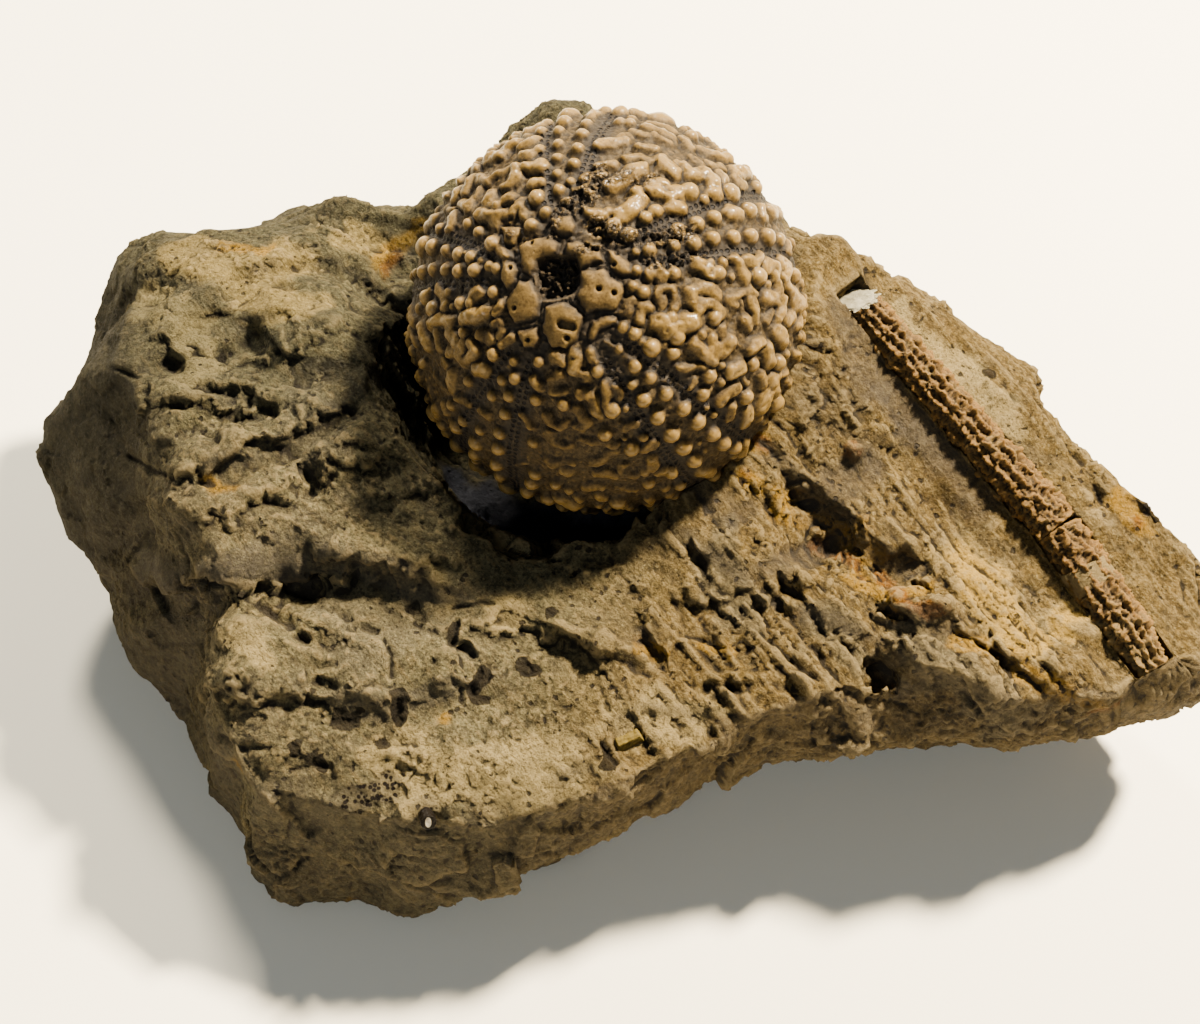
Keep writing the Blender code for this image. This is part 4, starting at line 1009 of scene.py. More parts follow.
def make_block():
    """The block: the solid, roughened all over, with the placed hollows and steps and its seats drawn in."""
    tree = block_tree()
    block = evened("carved_block", "limestone_block", BLOCK_FACES, BLOCK_SOFTENING)
    points = points_of(block.data)
    for node, reach in POCKETS:
        fill_pocket(points, edges_of(block.data), node, reach)
    move_points(block.data, points)
    outward = normals_of(block.data)
    wobble = turbulence(points, 1.8, 4, (5.0, 5.0, 5.0))

    spine_way = SPINE_FOOT - SPINE_TOP
    rightward = smoothstep(-2.0, 12.0, points[:, 0] - 0.35 * points[:, 1])
    along_spine = stretched(points, spine_way, 6.0)
    across = stretched(points, (1.0, -0.35, -0.1), 3.0)
    streaks = rightward * turbulence(along_spine, 0.80, 4)
    streaks += (1 - rightward) * turbulence(across, 0.80, 4, (7.0, 3.0, 1.0))
    crest = creases(points, 7.5)
    shards = rightward[:, None] * along_spine + (1 - rightward)[:, None] * across
    broad = chips(shards, 3.4, 0.60, (1.0, 2.0, 3.0), 0.15)
    small = chips(shards, 1.15, 0.9, (8.0, 4.0, 6.0))
    beds = layers(points, (-0.30, -0.55, 0.80), 1.7, 2.2 * wobble) * smoothstep(-0.25, 0.35, crest - 0.5)
    upright = smoothstep(0.35, 0.7, -outward[:, 1])
    steep = 1 - smoothstep(0.35, 0.75, outward[:, 2])
    grooves = turbulence(stretched(points, (0.1, -0.1, 1.0), 4.0), 0.8, 3, (2.0, 2.0, 8.0))

    # The places painted as shade, where the relief is also calmer.
    dark = painted(points, tree, DARK_AREAS, wobble)
    left_face = smoothstep(-30.0, -35.0, points[:, 0] + 0.25 * points[:, 1])
    seat, _ = test_gap(points)
    trench, _ = spine_gap(points)
    quiet = 1 - 0.75 * np.maximum(1 - smoothstep(0.8, 2.0, seat), 1 - smoothstep(0.5, 1.2, trench))
    quiet *= (1 - 0.5 * dark) * (1 - 0.45 * left_face)
    # The broken slope between the test and the spine's trench is the roughest.
    from_spine = (points - np.array(SPINE_TOP)) @ np.array(spine_way.cross(Vector((0, 0, 1))).normalized())
    slope = rightward * smoothstep(2.8, 5.5, from_spine) * (1 - smoothstep(26, 34, from_spine))
    streaks *= (STREAK_RELIEF + STREAK_RIGHT * rightward + STREAK_ON_SLOPE * slope) * (1 - upright)
    streaks += GROOVE_RELIEF * upright * grooves
    push = CREST_RELIEF * (crest - 0.5) + streaks + BED_RELIEF * beds + WOBBLE_RELIEF * wobble
    push += (BROAD_RELIEF + BROAD_ON_SLOPE * slope) * broad + (SMALL_RELIEF + SMALL_ON_SLOPE * slope) * small
    push += STEEP_RELIEF * steep * chips(points, 5.5, 0.5, (3.0, 9.0, 2.0), 0.12)
    push = push * quiet + broken_relief(points, tree, wobble, small)
    flat_base = smoothstep(0.0, 1.2, points[:, 2])
    points += outward * (push * flat_base)[:, None]
    points = close_seats(points, wobble)
    move_points(block.data, points)

    stains = {name: painted(points, tree, areas, wobble) for name, areas in STAINS.items()}
    set_attributes(block.data, **stains)
    set_attributes(
        block.data,
        dark=dark,
        moat=painted(points, tree, MOAT_AREAS, wobble),
        hollow=hollowness(block.data, 3) / 0.12,
        basin=hollowness(block.data, 30) / 0.6,
        rightward=rightward,
        left_face=left_face,
        far_left=(1 - rightward) * smoothstep(-7.0, 5.0, points[:, 1]),
        upright=upright,
    )
    simplify(block)
    return finish_mesh(block)


# ================================================================ the spine and the grains


def spine_places(points, start, end):
    """For each point: how far along the spine it is, the angle round it and the way out from its axis."""
    axis = np.array((end - start).normalized())
    side = np.array(axis_side(Vector(axis)))
    other = np.cross(axis, side)
    offset = points - np.array(start)
    along = offset @ axis
    outward = offset - np.outer(along, axis)
    angle = np.arctan2(outward @ other, outward @ side)
    away = np.linalg.norm(outward, axis=1)
    return along, angle, away, outward / np.maximum(away, 1e-6)[:, None]


def scattered(numbers):
    """A number between 0 and 1 for each whole number, in no order."""
    return np.sin(numbers * 12.9898 + 4.1) * 43758.5453 % 1.0


def axis_side(axis):
    """The direction square to an axis that points up as far as it can."""
    return (Vector((0, 0, 1)) - axis * axis.z).normalized()


def carve_spine(node, name, start, end, phase):
    """A length of the spine: rows of granules that run along it on low ribs, and broken ends."""
    spine = evened(name, node, SPINE_FACES, SPINE_SOFTENING)
    points = points_of(spine.data)
    along, angle, away, outward = spine_places(points, start, end)
    facing = (normals_of(spine.data) * outward).sum(axis=1)
    wobble = turbulence(points, 0.9, 2)
    bent = turbulence(points, 2.4, 2, (2.0, 6.0, 4.0))
    row = angle / (2 * math.pi) * SPINE_ROWS + 0.30 * bent
    number = np.floor(row) % SPINE_ROWS
    step = (along + phase + 0.35 * bent + 0.15 * wobble) / GRANULE_STEP + 0.5 * (number % 2) + 0.13 * number
    rib_width = 2 * math.pi * 1.6 / SPINE_ROWS
    from_row = np.abs(row % 1.0 - 0.5) * rib_width
    strength = scattered(number * 7.0 + np.floor(step) * 3.0)
    from_middle = step % 1.0 - 0.5 + 0.25 * (strength - 0.5)
    from_granule = np.hypot(from_row * 1.4, from_middle * GRANULE_STEP * 0.52)
    strength = 0.25 + 0.75 * strength
    ragged = turbulence(points, 0.4, 3, (4.0, 1.0, 9.0))
    granule = strength * np.sqrt(np.clip(1 - (from_granule / (0.25 + 0.12 * strength)) ** 2, 0, 1))
    rib = np.clip(1 - from_row / 0.36 + 0.3 * ragged, 0, 1)
    side = smoothstep(0.5, 0.9, facing)
    rough = ROUGH_RELIEF * wobble * (1 - granule) + RAGGED_RELIEF * ragged
    push = side * (GRANULE_RELIEF * granule + RIB_RELIEF * rib + rough - SPINE_SINK)
    push += (1 - side) * (0.10 * ragged + 0.10)
    points += normals_of(spine.data) * push[:, None]
    # The upper end is broken across on a slant that faces up.
    above = (points - np.array(start)) @ np.array(axis_side((end - start).normalized()))
    slant = SLANT * (above + SPINE_RADII[0]) - 0.1 + 0.05 * ragged
    short = np.clip(slant - along, 0, None) * (phase == 0)
    points += np.array((end - start).normalized()) * short[:, None]
    cut = smoothstep(0.02, 0.10, short)
    # The lower end tapers away into the rock.
    buried = smoothstep(0.35, 1.0, along / (end - start).length) * (phase > 0)
    taper = SPINE_TAPER * smoothstep(0.7, 1.0, along / (end - start).length) * (phase > 0)
    points -= outward * (away * taper)[:, None]
    move_points(spine.data, points)
    set_attributes(
        spine.data,
        granule=side * (0.65 * granule + 0.35 * rib),
        cut=cut,
        buried=buried,
        hollow=hollowness(spine.data, 3) / 0.05,
    )
    simplify(spine, SPINE_TRIANGLES)
    return finish_mesh(spine)


def carve_grain(node, name, rim=0.0):
    """A small grain of calcite with worn edges; a shaded rim of 1 paints its end near black round a pale
    core, as painted shade.
    """
    grain = evened(name, node, GRAIN_FACES, GRAIN_SOFTENING)
    points = points_of(grain.data)
    points += normals_of(grain.data) * (0.05 * turbulence(points, 0.35, 3))[:, None]
    move_points(grain.data, points)
    face = normals_of(grain.data) @ np.array(LOOK) < FACES_EYE
    from_middle = points - points[face].mean(axis=0)
    from_middle -= np.outer(from_middle @ np.array(LOOK), np.array(LOOK))
    # The bright core is an upright oval; the ring round it is painted shade.
    away = np.hypot(CORE_SLIMMER * from_middle[:, 0], from_middle @ np.array(VIEW_UP))
    set_attributes(grain.data, rim=rim * smoothstep(0.38, 0.55, away / np.quantile(away[face], 0.97)))
    return finish_mesh(grain)


# ================================================================ materials


def add(tree, kind, settings=None, **inputs):
    """A new node with its settings, and its inputs given a value or joined to another node's output."""
    node = tree.nodes.new("ShaderNode" + kind)
    for name, value in (settings or {}).items():
        setattr(node, name, value)
    for name, value in inputs.items():
        join(tree, value, node.inputs[name.replace("_", " ")])
    return node


def join(tree, value, socket):
    """Links an output to a socket, or sets the socket to a plain value."""
    if isinstance(value, bpy.types.NodeSocket):
        tree.links.new(value, socket)
    else:
        socket.default_value = value


def sums(tree, operation, first, second=0.0, limit=False):
    """Works out a value from one or two others."""
    node = add(tree, "Math", {"operation": operation, "use_clamp": limit})
    join(tree, first, node.inputs[0])
    join(tree, second, node.inputs[1])
    return node.outputs["Value"]


def times(tree, first, second, limit=False):
    return sums(tree, "MULTIPLY", first, second, limit)


def plus(tree, first, second):
    return sums(tree, "ADD", first, second)


# Where a mix node keeps its two colours and their mixture, which share their names with its other sockets.
MIX_FIRST, MIX_SECOND, MIX_RESULT = 6, 7, 2


def blend(tree, share, first, second, kind="MIX"):
    """Mixes two colours by a share from 0 to 1."""
    node = add(tree, "Mix", {"data_type": "RGBA", "blend_type": kind})
    join(tree, share, node.inputs["Factor"])
    join(tree, first, node.inputs[MIX_FIRST])
    join(tree, second, node.inputs[MIX_SECOND])
    return node.outputs[MIX_RESULT]


def tinted(tree, share, tone, tint):
    """Multiplies a share of a colour by a tint."""
    return blend(tree, share, tone, blend(tree, 1.0, tone, tint, "MULTIPLY"))


def ranged(tree, value, low, high, start=0.0, end=1.0):
    """Maps a value from one range to another, held at the ends."""
    node = add(
        tree, "MapRange", {"interpolation_type": "SMOOTHSTEP"}, Value=value, From_Min=low, From_Max=high,
        To_Min=start, To_Max=end,
    )
    return node.outputs["Result"]


def noise_of(tree, where, scale, detail=4.0, roughness=0.6):
    """Cloudy noise, with this many cells to the millimetre."""
    node = add(tree, "TexNoise", Vector=where, Scale=scale, Detail=detail, Roughness=roughness)
    return node.outputs["Fac"]


def mask_of(tree, name):
    """A value that the mesh holds for each of its points."""
    return add(tree, "Attribute", {"attribute_name": name}).outputs["Fac"]


def rgb(*colour):
    return (*colour, 1.0)


def new_group(name, inputs, outputs):
    """An empty node group with named inputs and outputs."""
    group = bpy.data.node_groups.new(name, "ShaderNodeTree")
    for label, kind, value in inputs:
        socket = group.interface.new_socket(name=label, in_out="INPUT", socket_type="NodeSocket" + kind)
        if value is not None:
            socket.default_value = value
    for label, kind in outputs:
        group.interface.new_socket(name=label, in_out="OUTPUT", socket_type="NodeSocket" + kind)
    return group, group.nodes.new("NodeGroupInput").outputs, group.nodes.new("NodeGroupOutput").inputs


def use(tree, group, **inputs):
    """Places a node group with its inputs, and returns its outputs."""
    node = add(tree, "Group", {"node_tree": group})
    for name, value in inputs.items():
        join(tree, value, node.inputs[name.replace("_", " ")])
    return node.outputs


def grain_group():
    """Stone grain: a height in millimetres, and a mask of its small dark pits."""
    group, given, out = new_group(
        "stone_grain",
        [
            ("Where", "Vector", None), ("Grain", "Float", 0.05), ("Pits", "Float", 0.1),
            ("Pit Size", "Float", 1.0),
        ],
        [(label, "Float") for label in ("Height", "Pit", "Mottle", "Facets", "Fine", "Facet Tone")],
    )
    coarse = noise_of(group, given["Where"], 1.6, 8.0, 0.72)
    fine = noise_of(group, given["Where"], 4.4, 6.0, 0.76)
    shift = add(group, "VectorMath", {"operation": "SCALE"}, Scale=0.5)
    warped = add(group, "TexNoise", Vector=given["Where"], Scale=2.5, Detail=3.0)
    join(group, warped.outputs["Color"], shift.inputs[0])
    moved = add(group, "VectorMath", {"operation": "ADD"})
    join(group, given["Where"], moved.inputs[0])
    join(group, shift.outputs["Vector"], moved.inputs[1])
    cells = add(group, "TexVoronoi", Vector=moved.outputs["Vector"], Scale=1.15, Randomness=1.0)
    where_pits = ranged(group, noise_of(group, given["Where"], 0.35, 3.0), 0.42, 0.62)
    reach = times(group, times(group, where_pits, 0.30), given["Pit Size"])
    inward = sums(group, "DIVIDE", cells.outputs["Distance"], plus(group, reach, 0.001))
    pit = ranged(group, inward, 1.0, 0.55)
    height = times(group, plus(group, coarse, times(group, fine, 0.62)), given["Grain"])
    join(group, sums(group, "SUBTRACT", height, times(group, pit, given["Pits"])), out["Height"])
    small, _ = broken_facets(group, moved.outputs["Vector"], 2.3, 0.8, 0.09)
    large, facet_tone = broken_facets(group, moved.outputs["Vector"], 0.75, 0.7, 0.22)
    join(group, plus(group, small, large), out["Facets"])
    join(group, facet_tone, out["Facet Tone"])
    join(group, pit, out["Pit"])
    join(group, coarse, out["Mottle"])
    join(group, fine, out["Fine"])
    return group


def broken_facets(group, where, scale, steepness, step):
    """Flat facets, each tilted its own way: their height, and a tone of its own for each."""
    facet = add(group, "TexVoronoi", Vector=where, Scale=scale)
    lean = add(group, "VectorMath", {"operation": "SUBTRACT"})
    join(group, facet.outputs["Color"], lean.inputs[0])
    lean.inputs[1].default_value = (0.5, 0.5, 0.5)
    apart = add(group, "VectorMath", {"operation": "SUBTRACT"})
    join(group, where, apart.inputs[0])
    join(group, facet.outputs["Position"], apart.inputs[1])
    tilt = add(group, "VectorMath", {"operation": "DOT_PRODUCT"})
    join(group, lean.outputs["Vector"], tilt.inputs[0])
    join(group, apart.outputs["Vector"], tilt.inputs[1])
    tone = add(group, "SeparateColor", Color=facet.outputs["Color"]).outputs["Green"]
    height = times(group, tilt.outputs["Value"], steepness)
    return plus(group, height, times(group, tone, step)), tone


def dirt_group():
    """Darkening in hollows, partly settled dirt and partly painted shade, and a paler worn tone along the
    crests.
    """
    group, given, out = new_group(
        "settled_dirt",
        [
            ("Colour", "Color", None), ("Hollow", "Float", 0.0), ("Dirt", "Color", None),
            ("Wear", "Color", None), ("Amount", "Float", 0.7),
        ],
        [("Colour", "Color")],
    )
    # Points lying deeper than their neighbours are darkened: settled dirt, and painted shade in the hollows.
    low = times(group, ranged(group, given["Hollow"], 0.0, 1.0), given["Amount"])
    dirty = blend(group, low, given["Colour"], given["Dirt"])
    high = times(group, ranged(group, given["Hollow"], -0.15, -1.0), 0.55)
    join(group, blend(group, high, dirty, given["Wear"]), out["Colour"])
    return group


def begin(name):
    """A new material: its tree, its shader, and its object coordinates in millimetres."""
    made = bpy.data.materials.new(name)
    made.use_nodes = True
    tree = made.node_tree
    where = add(tree, "VectorMath", {"operation": "SCALE"}, Scale=1 / MM)
    join(tree, add(tree, "TexCoord").outputs["Object"], where.inputs[0])
    return made, tree, tree.nodes["Principled BSDF"], where.outputs["Vector"]


def bump(tree, surface, height, strength=1.0):
    """Turns a height in millimetres into the shader's normal."""
    node = add(tree, "Bump", Height=height, Strength=strength, Distance=MM)
    join(tree, node.outputs["Normal"], surface.inputs["Normal"])


def streaks_along(tree, where, way, stretch):
    """Coordinates drawn out along a direction, for streaks."""
    turned = Vector(way).to_track_quat("X", "Z").to_euler()
    mapping = add(
        tree, "Mapping", {"vector_type": "TEXTURE"}, Vector=where, Rotation=turned, Scale=(stretch, 1.0, 1.0),
    )
    return mapping.outputs["Vector"]


def stone_material(grain, dirt):
    """Marly limestone: grey-beige, streaked, pitted, stained ochre and rust."""
    made, tree, surface, where = begin("marly_limestone")
    stone = use(tree, grain, Where=where, Grain=0.34, Pits=0.18, Pit_Size=1.0)
    streaks = noise_of(tree, streaks_along(tree, where, SPINE_FOOT - SPINE_TOP, 5.0), 2.6, 6.0, 0.65)
    patches = noise_of(tree, where, 0.16, 5.0, 0.6)
    rightward = mask_of(tree, "rightward")

    mottle = ranged(tree, stone["Mottle"], 0.34, 0.66)
    tone = blend(tree, mottle, rgb(0.036, 0.031, 0.016), rgb(0.130, 0.110, 0.053))
    tone = blend(tree, ranged(tree, patches, 0.42, 0.68, 0.0, 0.6), tone, rgb(0.056, 0.046, 0.025))
    warm = times(tree, rightward, 0.75)
    tone = tinted(tree, warm, tone, rgb(1.10, 0.78, 0.32))
    streak_share = times(tree, ranged(tree, streaks, 0.48, 0.66), ranged(tree, rightward, 0, 1, 0.35, 0.8))
    tone = blend(tree, streak_share, tone, rgb(0.180, 0.128, 0.050))
    rough_edge = plus(tree, stone["Mottle"], -0.5)
    for name, colour, most in (
        ("tan", rgb(0.165, 0.122, 0.040), 0.8),
        ("pale", rgb(0.25, 0.190, 0.078), 0.75),
        ("grey", rgb(0.085, 0.073, 0.044), 0.55),
        ("golden", rgb(0.30, 0.185, 0.030), 0.85),
        ("ochre", rgb(0.22, 0.120, 0.008), 0.8),
        ("rust", rgb(0.12, 0.042, 0.002), 0.85),
    ):
        share = plus(tree, mask_of(tree, name), times(tree, rough_edge, 1.2))
        share = times(tree, ranged(tree, share, 0.12, 0.85, 0.0, most), mask_of(tree, name), limit=True)
        tone = blend(tree, share, tone, colour)
    tone = blend(tree, ranged(tree, stone["Facet Tone"], 0.0, 0.5, 0.30, 0.0), tone, rgb(0.040, 0.034, 0.020))
    speck = stone["Fine"]
    tone = blend(tree, ranged(tree, speck, 0.36, 0.49, 0.80, 0.0), tone, rgb(0.014, 0.011, 0.006))
    tone = blend(tree, ranged(tree, speck, 0.54, 0.66, 0.0, 0.50), tone, rgb(0.25, 0.205, 0.098))
    # Hollows of the block darken, partly with settled dirt and partly with painted shade.
    tone = use(
        tree, dirt, Colour=tone, Hollow=mask_of(tree, "hollow"), Dirt=rgb(0.011, 0.009, 0.006),
        Wear=rgb(0.22, 0.165, 0.075), Amount=0.9,
    )["Colour"]
    # Painted shade: the block's broad hollows are darkened by how deep they lie.
    basin = ranged(tree, mask_of(tree, "basin"), 0.1, 1.2, 0.0, 0.5)
    tone = blend(tree, basin, tone, rgb(0.028, 0.023, 0.016))
    tone = blend(tree, times(tree, stone["Pit"], 0.85), tone, rgb(0.010, 0.008, 0.006))
    # Painted shade: the listed shaded places are darkened.
    tone = blend(tree, times(tree, mask_of(tree, "dark"), 0.45), tone, rgb(0.038, 0.033, 0.027))
    # Painted shade: the hollow in front of the test is made blue-black.
    tone = blend(tree, times(tree, mask_of(tree, "moat"), 0.95), tone, rgb(0.034, 0.035, 0.044))
    # Painted shade: the block's left face, turned from the lamps, is darkened.
    tone = blend(tree, times(tree, mask_of(tree, "left_face"), 0.55), tone, rgb(0.026, 0.021, 0.013))
    # Painted shade: faces turned to the front are darkened.
    tone = blend(tree, times(tree, mask_of(tree, "upright"), 0.40), tone, rgb(0.060, 0.052, 0.040))
    bit = ranged(tree, plus(tree, mask_of(tree, "bit"), times(tree, rough_edge, 0.8)), 0.14, 0.30)
    tone = blend(tree, times(tree, bit, 0.9), tone, rgb(0.010, 0.008, 0.005))
    riddled = add(tree, "TexVoronoi", Vector=where, Scale=3.0)
    perforated = ranged(tree, mask_of(tree, "perforated"), 0.1, 0.5)
    tiny_hole = times(tree, ranged(tree, riddled.outputs["Distance"], 0.58, 0.36), perforated)
    tone = blend(tree, times(tree, perforated, 0.6), tone, rgb(0.075, 0.062, 0.036))
    tone = blend(tree, tiny_hole, tone, rgb(0.008, 0.006, 0.004))
    # Painted shade: the back of the block's left part is dimmed and cooled, less where it is stained tan.
    shade = sums(tree, "SUBTRACT", mask_of(tree, "far_left"), mask_of(tree, "tan"), limit=True)
    tone = tinted(tree, shade, tone, rgb(0.54, 0.58, 0.62))
    join(tree, tone, surface.inputs["Base Color"])
    join(tree, ranged(tree, mask_of(tree, "moat"), 0.2, 0.9, 0.88, 0.55), surface.inputs["Roughness"])
    surface.inputs["Specular IOR Level"].default_value = 0.08
    height = plus(tree, stone["Height"], times(tree, streaks, 0.22))
    bump(tree, surface, plus(tree, height, times(tree, stone["Facets"], 0.70)))
    return made


def test_material(grain, dirt):
    """Calcite of the test: brown ground, pale glossy knobs, rows of dark pores, stuck sand grains."""
    made, tree, surface, where = begin("fossil_calcite")
    stone = use(tree, grain, Where=where, Grain=0.05, Pits=0.03, Pit_Size=0.7)
    knob = mask_of(tree, "knob")
    plate = mask_of(tree, "plate")
    hole = mask_of(tree, "hole")
    fine = noise_of(tree, where, 5.0, 5.0, 0.65)
    broad = noise_of(tree, where, 0.30, 3.0)

    ground = blend(tree, ranged(tree, fine, 0.35, 0.65), rgb(0.021, 0.014, 0.0055), rgb(0.056, 0.038, 0.016))
    knob_tone = blend(tree, ranged(tree, fine, 0.3, 0.7), rgb(0.068, 0.041, 0.010), rgb(0.140, 0.086, 0.021))
    tone = blend(tree, ranged(tree, knob, 0.22, 0.85), ground, knob_tone)
    # The tallest knobs get paler tips: partly worn calcite, partly a painted highlight.
    tone = blend(tree, ranged(tree, knob, 0.85, 1.0, 0.0, 0.6), tone, rgb(0.200, 0.124, 0.032))
    plate_tone = blend(tree, ranged(tree, fine, 0.3, 0.7), rgb(0.064, 0.039, 0.010), rgb(0.128, 0.081, 0.023))
    tone = blend(tree, times(tree, plate, 0.9), tone, plate_tone)
    tone = tinted(tree, ranged(tree, broad, 0.4, 0.65, 0.0, 0.35), tone, rgb(0.62, 0.58, 0.55))

    sand = add(tree, "TexVoronoi", Vector=where, Scale=3.4)
    sand_edge = ranged(tree, sand.outputs["Distance"], 0.2, 0.6)
    sand_tone = blend(tree, sand_edge, rgb(0.30, 0.22, 0.12), rgb(0.010, 0.007, 0.004))
    sand_light = add(tree, "SeparateColor", Color=sand.outputs["Color"]).outputs["Red"]
    sand_tone = blend(tree, ranged(tree, sand_light, 0.45, 0.6, 0.0, 0.85), sand_tone, rgb(0.04, 0.03, 0.02))
    sand_share = times(tree, mask_of(tree, "crust"), ranged(tree, fine, 0.40, 0.52), limit=True)
    tone = blend(tree, sand_share, tone, sand_tone)

    # Hollows of the test darken, partly with settled dirt and partly with painted shade.
    tone = use(
        tree, dirt, Colour=tone, Hollow=mask_of(tree, "hollow"), Dirt=rgb(0.010, 0.007, 0.004),
        Wear=rgb(0.180, 0.110, 0.029), Amount=1.0,
    )["Colour"]
    from_row = sums(tree, "ABSOLUTE", mask_of(tree, "pore_across"))
    band = times(tree, ranged(tree, from_row, 1.3, 0.5, 0.0, 0.75), ranged(tree, knob, 0.35, 0.10))
    band = times(tree, band, sums(tree, "SUBTRACT", 1.0, plate, limit=True))
    tone = blend(tree, band, tone, rgb(0.017, 0.014, 0.011))
    pore = pore_mask(tree)
    tone = blend(tree, pore, tone, rgb(0.006, 0.005, 0.005))
    tone = blend(tree, times(tree, mask_of(tree, "groove"), 0.45), tone, rgb(0.014, 0.009, 0.004))
    tone = blend(tree, times(tree, hole, 0.30), tone, rgb(0.012, 0.009, 0.007))
    join(tree, tone, surface.inputs["Base Color"])
    gloss = ranged(tree, knob, 0.4, 0.9, 0.62, 0.36)
    surface.inputs["Specular IOR Level"].default_value = 0.12
    join(tree, ranged(tree, knob, 0.7, 1.0, 0.0, 0.20), surface.inputs["Coat Weight"])
    surface.inputs["Coat Roughness"].default_value = 0.16
    join(tree, gloss, surface.inputs["Roughness"])
    height = sums(tree, "SUBTRACT", stone["Height"], times(tree, pore, 0.12))
    sand_height = times(tree, sand.outputs["Distance"], times(tree, sand_share, -0.22))
    bump(tree, surface, plus(tree, height, sand_height))
    return made


def pore_mask(tree):
    """Pairs of small round pores along the rows that the mesh's attributes lay out."""
    cell = sums(tree, "FRACT", sums(tree, "DIVIDE", mask_of(tree, "pore_along"), PORE_STEP))
    along = times(tree, sums(tree, "SUBTRACT", cell, 0.5), PORE_STEP)
    beside = sums(tree, "SUBTRACT", sums(tree, "ABSOLUTE", mask_of(tree, "pore_across")), PORE_SPREAD)
    away = sums(tree, "SQRT", plus(tree, sums(tree, "POWER", along, 2.0), sums(tree, "POWER", beside, 2.0)))
    dot = ranged(tree, away, PORE_RADIUS, 0.55 * PORE_RADIUS)
    free = ranged(tree, mask_of(tree, "knob"), 0.40, 0.15)
    return times(tree, times(tree, dot, mask_of(tree, "pore_row")), free, limit=True)


def spine_material(grain, dirt):
    """Calcite of the spine: dark brown, red-brown on the granules, pale where it is cut across."""
    made, tree, surface, where = begin("spine_calcite")
    stone = use(tree, grain, Where=where, Grain=0.10, Pits=0.05, Pit_Size=0.8)
    fine = noise_of(tree, where, 2.2, 5.0, 0.65)
    granule = mask_of(tree, "granule")
    low = blend(tree, fine, rgb(0.036, 0.020, 0.006), rgb(0.105, 0.062, 0.019))
    high = blend(tree, ranged(tree, fine, 0.35, 0.7), rgb(0.070, 0.032, 0.006), rgb(0.150, 0.082, 0.019))
    tone = blend(tree, ranged(tree, granule, 0.15, 0.75), low, high)
    sediment = noise_of(tree, where, 0.8, 6.0, 0.7)
    sediment = plus(tree, sediment, times(tree, mask_of(tree, "buried"), 0.13))
    tone = blend(tree, ranged(tree, sediment, 0.54, 0.64, 0.0, 0.85), tone, rgb(0.130, 0.088, 0.031))
    # Hollows of the spine darken, partly with settled dirt and partly with painted shade.
    tone = use(
        tree, dirt, Colour=tone, Hollow=mask_of(tree, "hollow"), Dirt=rgb(0.008, 0.006, 0.004),
        Wear=rgb(0.145, 0.080, 0.019), Amount=0.75,
    )["Colour"]
    cut_tone = blend(tree, ranged(tree, fine, 0.3, 0.7), rgb(0.17, 0.155, 0.10), rgb(0.27, 0.25, 0.175))
    tone = blend(tree, mask_of(tree, "cut"), tone, cut_tone)
    join(tree, tone, surface.inputs["Base Color"])
    surface.inputs["Roughness"].default_value = 0.62
    surface.inputs["Specular IOR Level"].default_value = 0.12
    bump(tree, surface, stone["Height"])
    return made


def pale_material(name, grain, colour, shade, streak, roughness):
    """Pale calcite of a small grain, clouded and finely streaked."""
    made, tree, surface, where = begin(name)
    stone = use(tree, grain, Where=where, Grain=0.05, Pits=0.03, Pit_Size=0.5)
    lines = noise_of(tree, streaks_along(tree, where, (1.0, 0.25, 0.1), streak), 3.5, 5.0)
    tone = blend(tree, ranged(tree, lines, 0.35, 0.65), shade, colour)
    # Painted shade: the ring round the end's pale core is made near black.
    tone = blend(tree, ranged(tree, mask_of(tree, "rim"), 0.2, 0.9), tone, rgb(0.005, 0.004, 0.003))
    join(tree, tone, surface.inputs["Base Color"])
    surface.inputs["Roughness"].default_value = roughness
    surface.inputs["Specular IOR Level"].default_value = 0.06
    bump(tree, surface, stone["Height"])
    return made


def floor_material():
    """The plain pale surface that the specimen stands on."""
    made, tree, surface, where = begin("pale_floor")
    cloud = noise_of(tree, where, 0.02, 3.0)
    join(tree, blend(tree, cloud, rgb(0.85, 0.80, 0.65), rgb(0.90, 0.86, 0.72)), surface.inputs["Base Color"])
    surface.inputs["Roughness"].default_value = 0.65
    return made


def wear(obj, finish):
    obj.data.materials.clear()
    obj.data.materials.append(finish)


# ================================================================ the studio


# Each lamp: its name, place in metres, size in metres, power in watts and colour.
LAMPS = (
    ("key", (0.25, 0.20, 0.39), 0.05, 23.0, (1.0, 0.85, 0.63)),
    ("second", (-0.12, 0.42, 0.33), 0.07, 6.5, (1.0, 0.90, 0.74)),
    ("front_fill", (-0.28, -0.44, 0.42), 0.16, 1.2, (0.88, 0.94, 1.0)),
)
LAMPS_AIM = Vector((0, 0, 0.015))
ROOM_COLOUR, ROOM_LIGHT = (0.86, 0.93, 1.0, 1.0), 0.16
FLOOR_HALF = 1.5


def make_camera():
    """The camera, at the angle that the places of small features are given from."""
    data = bpy.data.cameras.new("camera")
    data.lens = LENS
    data.sensor_width = SENSOR
    data.sensor_fit = "HORIZONTAL"
    data.clip_start = 0.01
    camera = bpy.data.objects.new("camera", data)
    camera.location = EYE * MM
    camera.rotation_euler = LOOK.to_track_quat("-Z", "Y").to_euler()
    bpy.context.scene.collection.objects.link(camera)
    bpy.context.scene.camera = camera


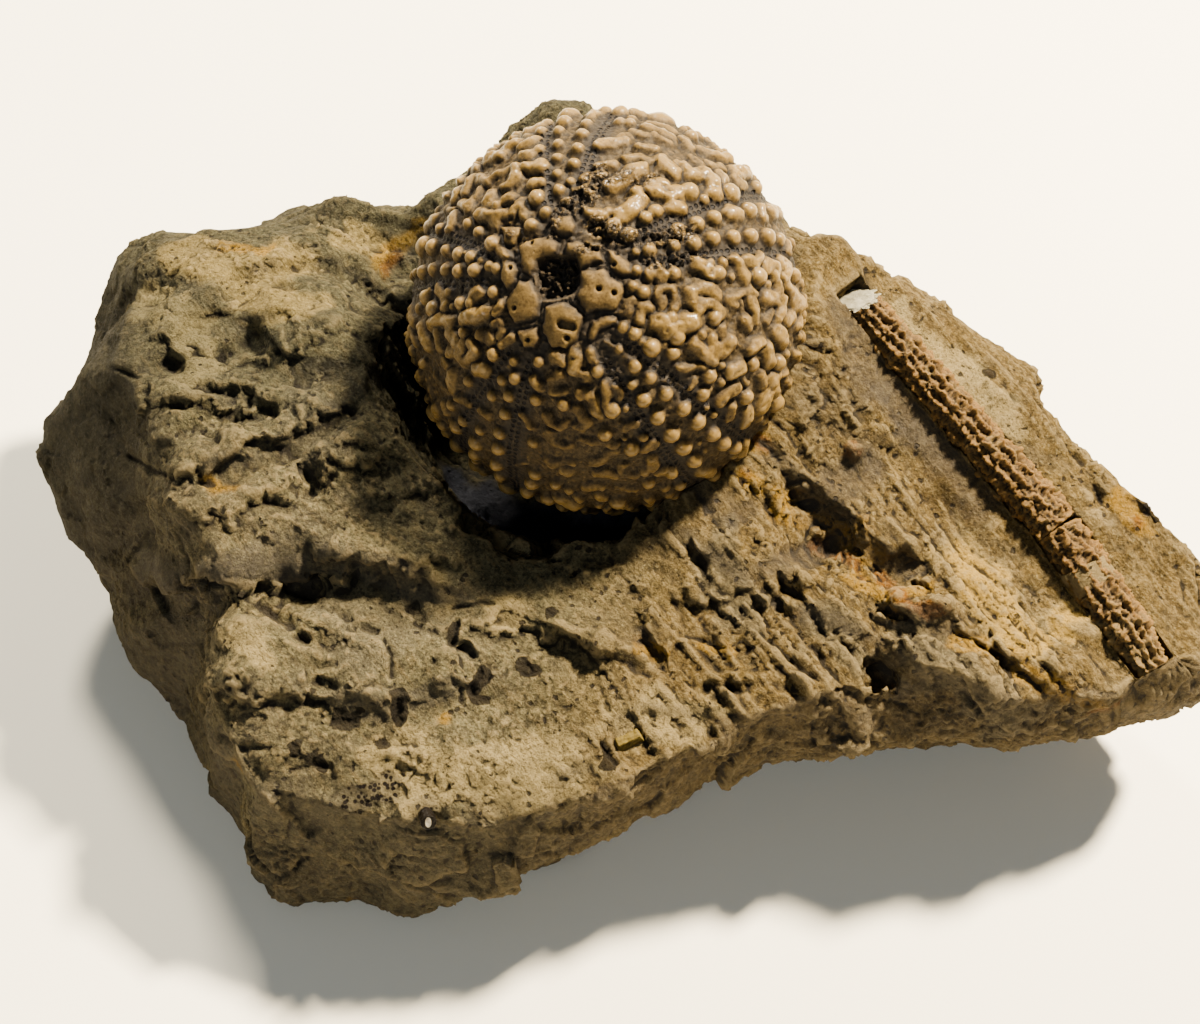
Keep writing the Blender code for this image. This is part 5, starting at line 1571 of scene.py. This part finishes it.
def make_floor():
    bm = bmesh.new()
    bmesh.ops.create_grid(bm, x_segments=1, y_segments=1, size=FLOOR_HALF)
    floor = object_of("studio_floor", bm)
    wear(floor, floor_material())


def area_light(name, place, size, power, colour):
    """A square lamp at a place in metres, turned to the specimen."""
    data = bpy.data.lights.new(name, "AREA")
    data.size = size
    data.energy = power
    data.color = colour
    light = bpy.data.objects.new(name, data)
    light.location = place
    light.rotation_euler = (LAMPS_AIM - Vector(place)).to_track_quat("-Z", "Y").to_euler()
    bpy.context.scene.collection.objects.link(light)


def make_lights():
    """Three lamps and a faint even light from all round."""
    for lamp in LAMPS:
        area_light(*lamp)
    world = bpy.data.worlds.new("studio")
    bpy.context.scene.world = world
    world.use_nodes = True
    background = world.node_tree.nodes["Background"]
    background.inputs["Color"].default_value = ROOM_COLOUR
    background.inputs["Strength"].default_value = ROOM_LIGHT


# ================================================================ the specimen


def main():
    noise.seed_set(NOISE_SEED)
    make_camera()
    make_floor()
    make_lights()
    grain = grain_group()
    dirt = dirt_group()
    thorny = spine_material(grain, dirt)
    white = pale_material("white_calcite", grain, rgb(0.38, 0.35, 0.27), rgb(0.20, 0.17, 0.12), 1.0, 0.35)
    yellow_tones = (rgb(0.125, 0.090, 0.020), rgb(0.070, 0.049, 0.011))
    yellow = pale_material("yellow_calcite", grain, *yellow_tones, 6.0, 0.5)
    upper = carve_spine("spine_upper_fragment", "spine_upper", SPINE_TOP, SPINE_BREAK, 0.0)
    lower = carve_spine("spine_lower_fragment", "spine_lower", SPINE_BREAK, SPINE_FOOT, 0.4)
    pieces = [
        (make_block(), "limestone_block", "limestone", stone_material(grain, dirt)),
        (make_test(), "urchin_test", "fossil_test", test_material(grain, dirt)),
        (upper, "spine_upper_fragment", "fossil_spine", thorny),
        (lower, "spine_lower_fragment", "fossil_spine", thorny),
        (carve_grain("sea_lily_ossicle", "ossicle", 1.0), "sea_lily_ossicle", "pale_calcite", white),
        (carve_grain("calcite_chip", "chip"), "calcite_chip", "pale_calcite", yellow),
    ]
    for piece, node, slot, finish in pieces:
        wear(piece, finish)
        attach(piece, "root")
        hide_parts(node)


main()
